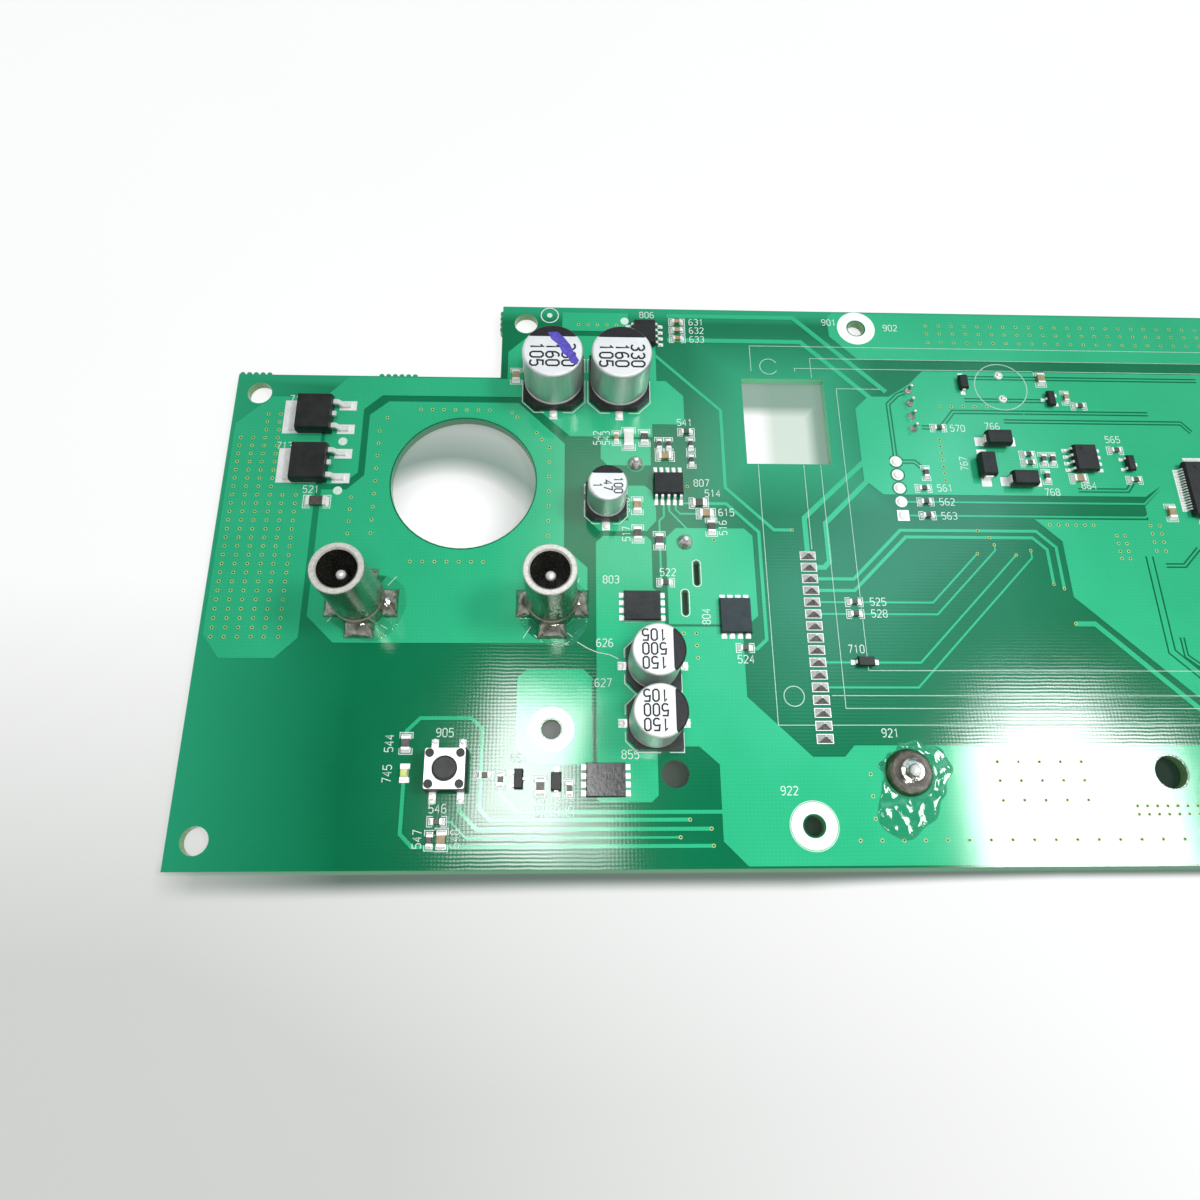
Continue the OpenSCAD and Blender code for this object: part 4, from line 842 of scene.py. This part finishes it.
for y in (54.6, 53.1, 51.6, 50):
    vias += row(155.1, y, 1.6, 0, 2)
for y in (94.2, 92.5, 90.6):
    vias += row(122, y, 2.4, 0, 22)
VIA_R, VIA_HOLE_R = 0.29, 0.15
rings, middles = Flat(), Flat()
for x, y in vias:
    rings.annulus(x, y, VIA_HOLE_R, VIA_R, 12)
    middles.disc(x, y, VIA_HOLE_R, 12)
rings.piece("via_rings", VIA_GOLD, "pin_metal")
# The middles are painted shade for the via holes
middles.piece("via_middles", VIA_HOLE_SHADE, "laminate")

# Black marks and plain numbers on the capacitor tops: node, side of the mark, rows
CAPS = [
    ("large_capacitor_cans", 90, ("330", "160", "105")),
    ("medium_capacitor_cans", 0, ("150", "500", "105")),
    ("small_capacitor_can", 90, ("100", "47", "1")),
]
MARK_HALF = 54
MARK_STEPS = 24
SHOULDER = 0.45
TILTS = (0, 20, 40, 60, 80)
# Shares of a can's radius: pitch of the rows, their shift from the mark and the digits' height
ROW_SHARE, BACK_SHARE, TEXT_SHARE = 0.52, 0.17, 0.42
MARK_INK = 0.15
marks = Flat()
for node, side, rows in CAPS:
    for box in islands(node):
        x, y = middle(box)
        r, z = (box[2] - box[0]) / 2, box[4]
        arc = [math.radians(side - MARK_HALF + 2 * MARK_HALF * i / MARK_STEPS)
               for i in range(MARK_STEPS + 1)]
        shells = []
        for skin_r in (SHOULDER - INK_MM, SHOULDER + INK_MM):
            shells.append([])
            for tilt in TILTS:
                reach = r - SHOULDER + skin_r * math.sin(math.radians(tilt))
                level = z + (skin_r * math.cos(math.radians(tilt)) - SHOULDER) * MM
                shells[-1].append([at(x + reach * math.cos(t), y + reach * math.sin(t), level) for t in arc])
        marks.slab(shells[1], shells[0])
        marks.prism(shells[0][0], shells[1][0])
        turn = side + 180
        up = (-math.sin(math.radians(turn)), math.cos(math.radians(turn)))
        back = (-math.cos(math.radians(side)), -math.sin(math.radians(side)))
        for i, text in enumerate(rows):
            v = (1 - i) * r * ROW_SHARE
            cx = x + up[0] * v + back[0] * r * BACK_SHARE
            cy = y + up[1] * v + back[1] * r * BACK_SHARE
            marks.number(text, cx, cy, r * TEXT_SHARE, turn, MARK_INK, z)
marks.piece("can_marks", INK_BLACK, "base_plastic")

# Faint numbers on the chip by the switch
CHIP_ROWS = ("4812", "37")
CHIP_TEXT_H = 0.8
CHIP_LINE = 1.3
FRONT_CHIP = (60.5, 11.5)
front_chip = nearest(islands("power_transistor_bodies"), *FRONT_CHIP)[0]
x, y = middle(front_chip)
chip_text = Flat()
for i, text in enumerate(CHIP_ROWS):
    chip_text.number(text, x, y + (0.5 - i) * CHIP_LINE, CHIP_TEXT_H, 0, LABEL_INK, front_chip[4])
chip_text.piece("chip_marks", INK_GREY, "base_plastic")

# Felt pen stroke over the left large capacitor's top
PEN_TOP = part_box("large_capacitor_cans")[1].z + INK_MM * MM
PEN_EDGE = [(53.6, 83.9), (54.2, 82.6), (55.3, 81.6), (56, 80), (56.9, 79.2), (57.4, 78.1), (58.4, 77.8),
            (58.7, 78.6), (58, 79.8), (57.3, 81.5), (56.3, 82.9), (55.1, 84.1)]
pen = Flat()
pen.prism([at(x, y, PEN_TOP) for x, y in PEN_EDGE])
pen.piece("pen_stroke", MARKER, "base_plastic")

# Rounded solder at the feet of the jacks, in place of the plain wedges.
# Each jack's middle, and the way that its flux has run
JACKS = [
    (middle(islands("left_jack_sleeve")[0]), -0.3),
    (middle(islands("right_jack_sleeve")[0]), -1.2),
]
LUMP_ROOT = 3.4
LUMP_SPREAD = 0.22
LUMP_GRID = 14
LUMP_SHARE = 1.25
LUMP_SWELL = 0.16
LUMP_EDGE = 0.02
lumps = Flat()
for wedge in islands("jack_solder"):
    wx, wy = middle(wedge)
    (x, y), _ = min(JACKS, key=lambda jack: math.hypot(jack[0][0] - wx, jack[0][1] - wy))
    along_x = abs(wx - x) > abs(wy - y)
    out = math.copysign(1, wx - x if along_x else wy - y)
    i = 0 if along_x else 1
    reach = max(abs(wedge[i] - (x, y)[i]), abs(wedge[i + 2] - (x, y)[i])) + LUMP_SPREAD
    half = (wedge[3 - i] - wedge[1 - i]) / 2 + LUMP_SPREAD
    rise = (wedge[4] - LAND_Z) / MM
    top, low = [], []
    for a in range(LUMP_GRID + 1):
        s = math.sin(math.pi / 2 * a / LUMP_GRID)
        ends = []
        for b in range(LUMP_GRID + 1):
            t = math.sin(math.pi / 2 * (2 * b / LUMP_GRID - 1))
            u, v = LUMP_ROOT + (reach - LUMP_ROOT) * s, half * t
            px, py = (x + out * u, y + v) if along_x else (x + v, y + out * u)
            swell = 1 + LUMP_SWELL * relief.noise(Vector((px, py, 0)))
            h = LUMP_SHARE * rise * swell * math.sqrt((1 - s ** 2) * (1 - t ** 2))
            ends.append((px, py, LAND_Z + max(h, LUMP_EDGE) * MM))
        top.append([at(*p) for p in ends])
        low.append([at(p[0], p[1], MASK_Z) for p in ends])
    lumps.slab(top, low)
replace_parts(lumps.piece("jack_lumps", SOLDER_BURNT, "solder", smooth=True), "jack_solder")

# The switch's snap dome, in place of the solid one
still = NODES["switch_dome"]
dome = bpy.data.objects.new("snap_dome", still.data.copy())
bpy.context.scene.collection.objects.link(dome)
dome.matrix_world = still.matrix_world
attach(dome, "board")
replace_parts(dome, "switch_dome")
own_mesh(dome)

# Dried flux: a rippled puddle beside the stud, thin films and whiskers at the jacks
STUD = middle(islands("stud_solder")[0])
STUD_R = (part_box("stud_solder")[1].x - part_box("stud_solder")[0].x) / 2 / MM


def ripples(size_mm, low_mm, rise_mm):
    """A height field of smooth drops."""
    return lambda x, y: low_mm + rise_mm * max(0, 0.25 + relief.noise(Vector((x / size_mm, y / size_mm, 0))))


def stud_reach(t):
    """How far the puddle reaches: further to the right and below, with a wavy edge."""
    right = 2.4 * max(0, math.cos(t - 0.1))
    below = 6 * max(0, math.cos(t + 1.8)) ** 4
    return STUD_R + 0.5 + right + below + 0.35 * math.sin(5 * t) + 0.25 * math.sin(11 * t + 1)


puddle = Flat()
puddle.film(*STUD, STUD_R + 0.05, stud_reach, ripples(1.5, 0.05, 0.17), steps=18, n=180)
puddle.piece("flux_puddle", FLUX_CLEAR, "lens", smooth=True)



def jack_reach(lean):
    """How far the film round a jack reaches: further on the side that it leans to."""
    return lambda t: 5.3 + 1.8 * max(0, math.cos(t - lean)) + 0.3 * math.sin(4 * t)


JACK_R = 4.2
films = Flat()
for (x, y), lean in JACKS:
    films.film(x, y, JACK_R, jack_reach(lean), ripples(2.2, 0.02, 0.06))
films.piece("flux_films", FLUX_THIN, "lens", smooth=True)

# One whisker in each quarter round a jack, and a long strand beside the right one
WHISKER_THICK = 0.04
WHISKER_W, STRAND_W = 0.11, 0.12
WHISKER_ANGLES = (45, 135, 225, 315)
WHISKER_TURN = 20
WHISKER_BEND = 0.06
STRAND = [(58.6, 33.9), (60.2, 32.9), (61.8, 32.2), (63.6, 31.9), (65, 31.2)]
random.seed(7)
whiskers = Flat(WHISKER_THICK)
for (x, y), _ in JACKS:
    for a in WHISKER_ANGLES:
        t = math.radians(a + random.uniform(-WHISKER_TURN, WHISKER_TURN))
        u = t + WHISKER_BEND
        r0 = 4.8 + random.uniform(0, 0.6)
        r1 = 5.9 + random.uniform(0, 1.4)
        whiskers.line([(x + r0 * math.cos(t), y + r0 * math.sin(t)),
                       (x + r1 * math.cos(u), y + r1 * math.sin(u))], WHISKER_W)
whiskers.line(STRAND, STRAND_W)
whiskers.piece("flux_whiskers", FLUX_WHITE, "led_carrier")

# Floor: pale, with painted shade: greyer at the front left, and the shade that the holes let through
FLOOR_DROP = 0.3
FLOOR_SIZE = 6
FLOOR_PALE = ((0.98, 0.98, 0.975), (1.0, 1.0, 0.995))
FLOOR_PAINTED_SHADE = (0.65, 0.66, 0.64)
CONTACT_PAINTED_SHADE = (0.088, 0.138, 0.107)
EDGE_PAINTED_GLOW = (0.16, 0.37, 0.23)
PORT_SHADE = (0.26, 0.345, 0.30)
PORT_PAINTED_HALF_SHADE = (0.60, 0.63, 0.60)
WINDOW_SHADE = (0.22, 0.35, 0.28)
WINDOW_PAINTED_HALF_SHADE = (0.62, 0.73, 0.64)
UNDER_SHADE = (0.015, 0.035, 0.022)
FLOOR_GLOW = 0.76
FLOOR_ROUGH = 0.6
FLOOR_DRIFT_MM = 120
# Where shades start and end, in millimetres on the board
GREY_SHARE = 1.3
GREY_REAR, GREY_RIGHT, GREY_FAR = (-30, 45), (0, 150), (-260, -70)
CONTACT_FADE, CONTACT_UNDER = (-3.6, -1), (0.5, 2)
GLOW_FADE = (-0.6, -0.3)
PORT_DIM = (6.5, 12)
PORT_FADE, PORT_EASE = (-2.4, 1.2), (1.2, 6)
PORT_RIM = (0.5, 1.5)
HALF_SHADE, REAR_SHADE, RIGHT_SHADE = (90.6, 93), (75.9, 78.1), (98.6, 100.5)
# Light through the port is painted on the floor as a shifted circle, with a brighter one inside it, and
# painted shade round them
PORT_LIT = (37.2, 49.2, 17)
PORT_BRIGHT = (36.8, 55.5)
bpy.ops.mesh.primitive_plane_add(size=FLOOR_SIZE, location=(0, 0, -FLOOR_DROP * MM))
floor = bpy.context.object
floor.name = "floor"
mat, tree, bsdf = node_tree("floor")
x, y = board_axes(tree)


def within(value, centre, half):
    """1 inside a band round a centre, 0 outside it."""
    off = calc(tree, "ABSOLUTE", calc(tree, "SUBTRACT", value, centre), 0)
    return span(tree, off, 1, 0, half - 0.5, half + 0.5)


tone = mix(tree, span(tree, noise(tree, FLOOR_DRIFT_MM, detail=2), 0, 1), *FLOOR_PALE)
# Painted shade: greyer towards the front left
front_left_shade = calc(tree, "MULTIPLY", span(tree, y, 1, 0, *GREY_REAR),
                  span(tree, x, GREY_SHARE, 0, *GREY_RIGHT),
                  span(tree, y, 0, 1, *GREY_FAR), span(tree, x, 0, 1, *GREY_FAR))
tone = mix(tree, front_left_shade, tone, FLOOR_PAINTED_SHADE)

# Under the front edge: a painted shade that narrows to the right, and a painted green glow right at the edge
drop = calc(tree, "MULTIPLY", y, span(tree, x, 0.82, 1.04, 15, 60), span(tree, x, 1, 1.8, 92, 130))
along = calc(tree, "MULTIPLY", span(tree, x, 0.42, 0.94, 3, 25), span(tree, x, 0, 1, -2, 4),
             span(tree, x, 1, 0, BOARD_W - 3, BOARD_W))
below = span(tree, y, 1, 0, *CONTACT_UNDER)
contact = calc(tree, "MULTIPLY", span(tree, drop, 0, 1, *CONTACT_FADE, "SMOOTHSTEP"), below, along)
tone = mix(tree, contact, tone, CONTACT_PAINTED_SHADE)
edge = calc(tree, "MULTIPLY", span(tree, y, 0, 0.9, *GLOW_FADE), below, along)
tone = mix(tree, edge, tone, EDGE_PAINTED_GLOW)

# Painted shade on the floor in the round port and in the square window
off_port = calc(tree, "SUBTRACT", away(tree, x, y, PORT), PORT[2])
in_port = span(tree, off_port, 1, 0, *PORT_RIM)
dim = span(tree, away(tree, x, y, PORT_BRIGHT), 0, 0.95, *PORT_DIM)
tone = mix(tree, calc(tree, "MULTIPLY", dim, in_port), tone, PORT_PAINTED_HALF_SHADE)
reach = calc(tree, "SUBTRACT", away(tree, x, y, PORT_LIT), PORT_LIT[2])
crescent = calc(tree, "MINIMUM", span(tree, reach, 0, 1, *PORT_FADE), span(tree, reach, 1, 0.55, *PORT_EASE))
tone = mix(tree, calc(tree, "MULTIPLY", crescent, in_port), tone, PORT_SHADE)
inside = calc(tree, "MULTIPLY", within(x, WINDOW[0], WINDOW[2]), within(y, WINDOW[1], WINDOW[3]))
# Painted shade: a half shade over the window's right part, and a deeper one along its rear and right sides
half = calc(tree, "MULTIPLY", span(tree, x, 0, 0.9, *HALF_SHADE), inside)
tone = mix(tree, half, tone, WINDOW_PAINTED_HALF_SHADE)
window = calc(tree, "MAXIMUM", span(tree, y, 0, 0.9, *REAR_SHADE), span(tree, x, 0, 0.9, *RIGHT_SHADE))
tone = mix(tree, calc(tree, "MULTIPLY", window, inside), tone, WINDOW_SHADE)

# Painted shade under the board, seen through the small holes
under = calc(tree, "MULTIPLY", span(tree, x, 0, 1, 52, 53), span(tree, x, 0.78, 1, 54, 79),
             span(tree, x, 1, 0, BOARD_W - 4, BOARD_W - 2),
             span(tree, y, 0, 1, 1.5, 3), span(tree, y, 1, 0, 55, 57))
tone = mix(tree, under, tone, UNDER_SHADE)
link(tree, tone, bsdf.inputs["Base Color"])
bsdf.inputs["Roughness"].default_value = FLOOR_ROUGH
glow = tree.nodes.new("ShaderNodeEmission")
link(tree, tone, glow.inputs["Color"])
rays = tree.nodes.new("ShaderNodeLightPath").outputs
seen = calc(tree, "MAXIMUM", rays["Is Camera Ray"], rays["Is Glossy Ray"], rays["Is Transmission Ray"])
blend = tree.nodes.new("ShaderNodeMixShader")
link(tree, calc(tree, "MULTIPLY", seen, FLOOR_GLOW), blend.inputs[0])
link(tree, bsdf.outputs[0], blend.inputs[1])
link(tree, glow.outputs[0], blend.inputs[2])
link(tree, blend.outputs[0], tree.nodes["Material Output"].inputs[0])
floor.data.materials.append(mat)

# Light: a sky that is pale round the horizon and dim overhead, so the flat mask keeps its colour
SKY_RIM = (0.98, 0.99, 1.0)
SKY_TOP = (0.09, 0.10, 0.10)
SKY_STRENGTH = 0.62
SKY_FADE = (0.35, 0.95)
world = bpy.data.worlds.new("studio")
bpy.context.scene.world = world
world.use_nodes = True
sky = world.node_tree
height = axes(sky, sky.nodes.new("ShaderNodeTexCoord").outputs["Generated"])["Z"]
pale = span(sky, height, 1, 0, *SKY_FADE)
link(sky, mix(sky, pale, SKY_TOP, SKY_RIM), sky.nodes["Background"].inputs["Color"])
sky.nodes["Background"].inputs["Strength"].default_value = SKY_STRENGTH
backdrop = sky.nodes.new("ShaderNodeBackground")
backdrop.inputs["Color"].default_value = (1, 1, 1, 1)
shown = sky.nodes.new("ShaderNodeMixShader")
link(sky, sky.nodes.new("ShaderNodeLightPath").outputs["Is Camera Ray"], shown.inputs[0])
link(sky, sky.nodes["Background"].outputs[0], shown.inputs[1])
link(sky, backdrop.outputs[0], shown.inputs[2])
link(sky, shown.outputs[0], sky.nodes["World Output"].inputs["Surface"])

# Bright and dim ceiling panels that the glossy mask mirrors: centre, size, turn, watts, softness and colour.
# Each is made of three, one inside the other, so that its border is soft
PANEL_H = 900
TUBE = (1, 1, 1)
DAYLIGHT = (0.52, 0.86, 1)
PANELS = {
    "panel_left": (0, 133, 135, 230, -13, 1.6, 0.15, TUBE),
    "panel_low": (76, 60, 100, 120, 0, 0.26, 0.2, TUBE),
    "panel_middle": (130, 490, 320, 330, 0, 0.4, 0.2, TUBE),
    "panel_right": (685, 68, 300, 225, 0, 5.2, 0.07, TUBE),
    "panel_dome": (664, 196, 190, 90, 0, 0.8, 0.2, TUBE),
    "panel_rear": (501, 445, 700, 260, 39, 0.6, 0.22, DAYLIGHT),
    "panel_wide": (440, 477, 640, 690, 0, 1.0, 0.15, DAYLIGHT),
}
SOFT_PARTS = (0.4, 0.3, 0.3)
for order, (name, (px, py, w, d, turn, watts, soft, colour)) in enumerate(PANELS.items()):
    for level, part in enumerate(SOFT_PARTS):
        share = 1 - level * soft
        lamp = bpy.data.lights.new(name, "AREA")
        lamp.shape = "RECTANGLE"
        lamp.size, lamp.size_y = w * share * MM, d * share * MM
        lamp.energy = watts * part
        lamp.color = colour
        holder = bpy.data.objects.new(name, lamp)
        holder.location = at(px, py, FACE_Z + (PANEL_H + order * len(SOFT_PARTS) + level) * MM)
        holder.rotation_euler.z = math.radians(turn)
        bpy.context.scene.collection.objects.link(holder)

# A soft pool of light on the middle of the board, from the front
POOL_FROM = (95, -70, 320)
POOL_ON = (85, 34)
POOL_WATTS = 2.7
POOL_SPREAD = 28
POOL_SOFT_MM = 60
pool_lamp = bpy.data.lights.new("pool", "SPOT")
pool_lamp.energy = POOL_WATTS
pool_lamp.spot_size = math.radians(POOL_SPREAD)
pool_lamp.spot_blend = 1
pool_lamp.shadow_soft_size = POOL_SOFT_MM * MM
pool = bpy.data.objects.new("pool", pool_lamp)
pool.location = at(POOL_FROM[0], POOL_FROM[1], FACE_Z + POOL_FROM[2] * MM)
pool.rotation_euler = (at(*POOL_ON) - pool.location).to_track_quat("-Z", "Y").to_euler()
bpy.context.scene.collection.objects.link(pool)

# Camera at the photograph's angle
CAMERA_AT = (57.751, -2.819, 125.573)
CAMERA_TURN = (19.1995, -1.9023, -0.3778)
SENSOR_MM = 36
FOCAL_SHARE = 0.6955
CLIP_START = 0.005
cam = bpy.data.cameras.new("camera")
cam.sensor_width = SENSOR_MM
cam.lens = SENSOR_MM * FOCAL_SHARE
cam.clip_start = CLIP_START
eye = bpy.data.objects.new("camera", cam)
eye.location = at(CAMERA_AT[0], CAMERA_AT[1], FACE_Z + CAMERA_AT[2] * MM)
eye.rotation_euler = Euler([math.radians(a) for a in CAMERA_TURN])
bpy.context.scene.collection.objects.link(eye)
bpy.context.scene.camera = eye
bpy.context.scene.view_settings.view_transform = "Standard"
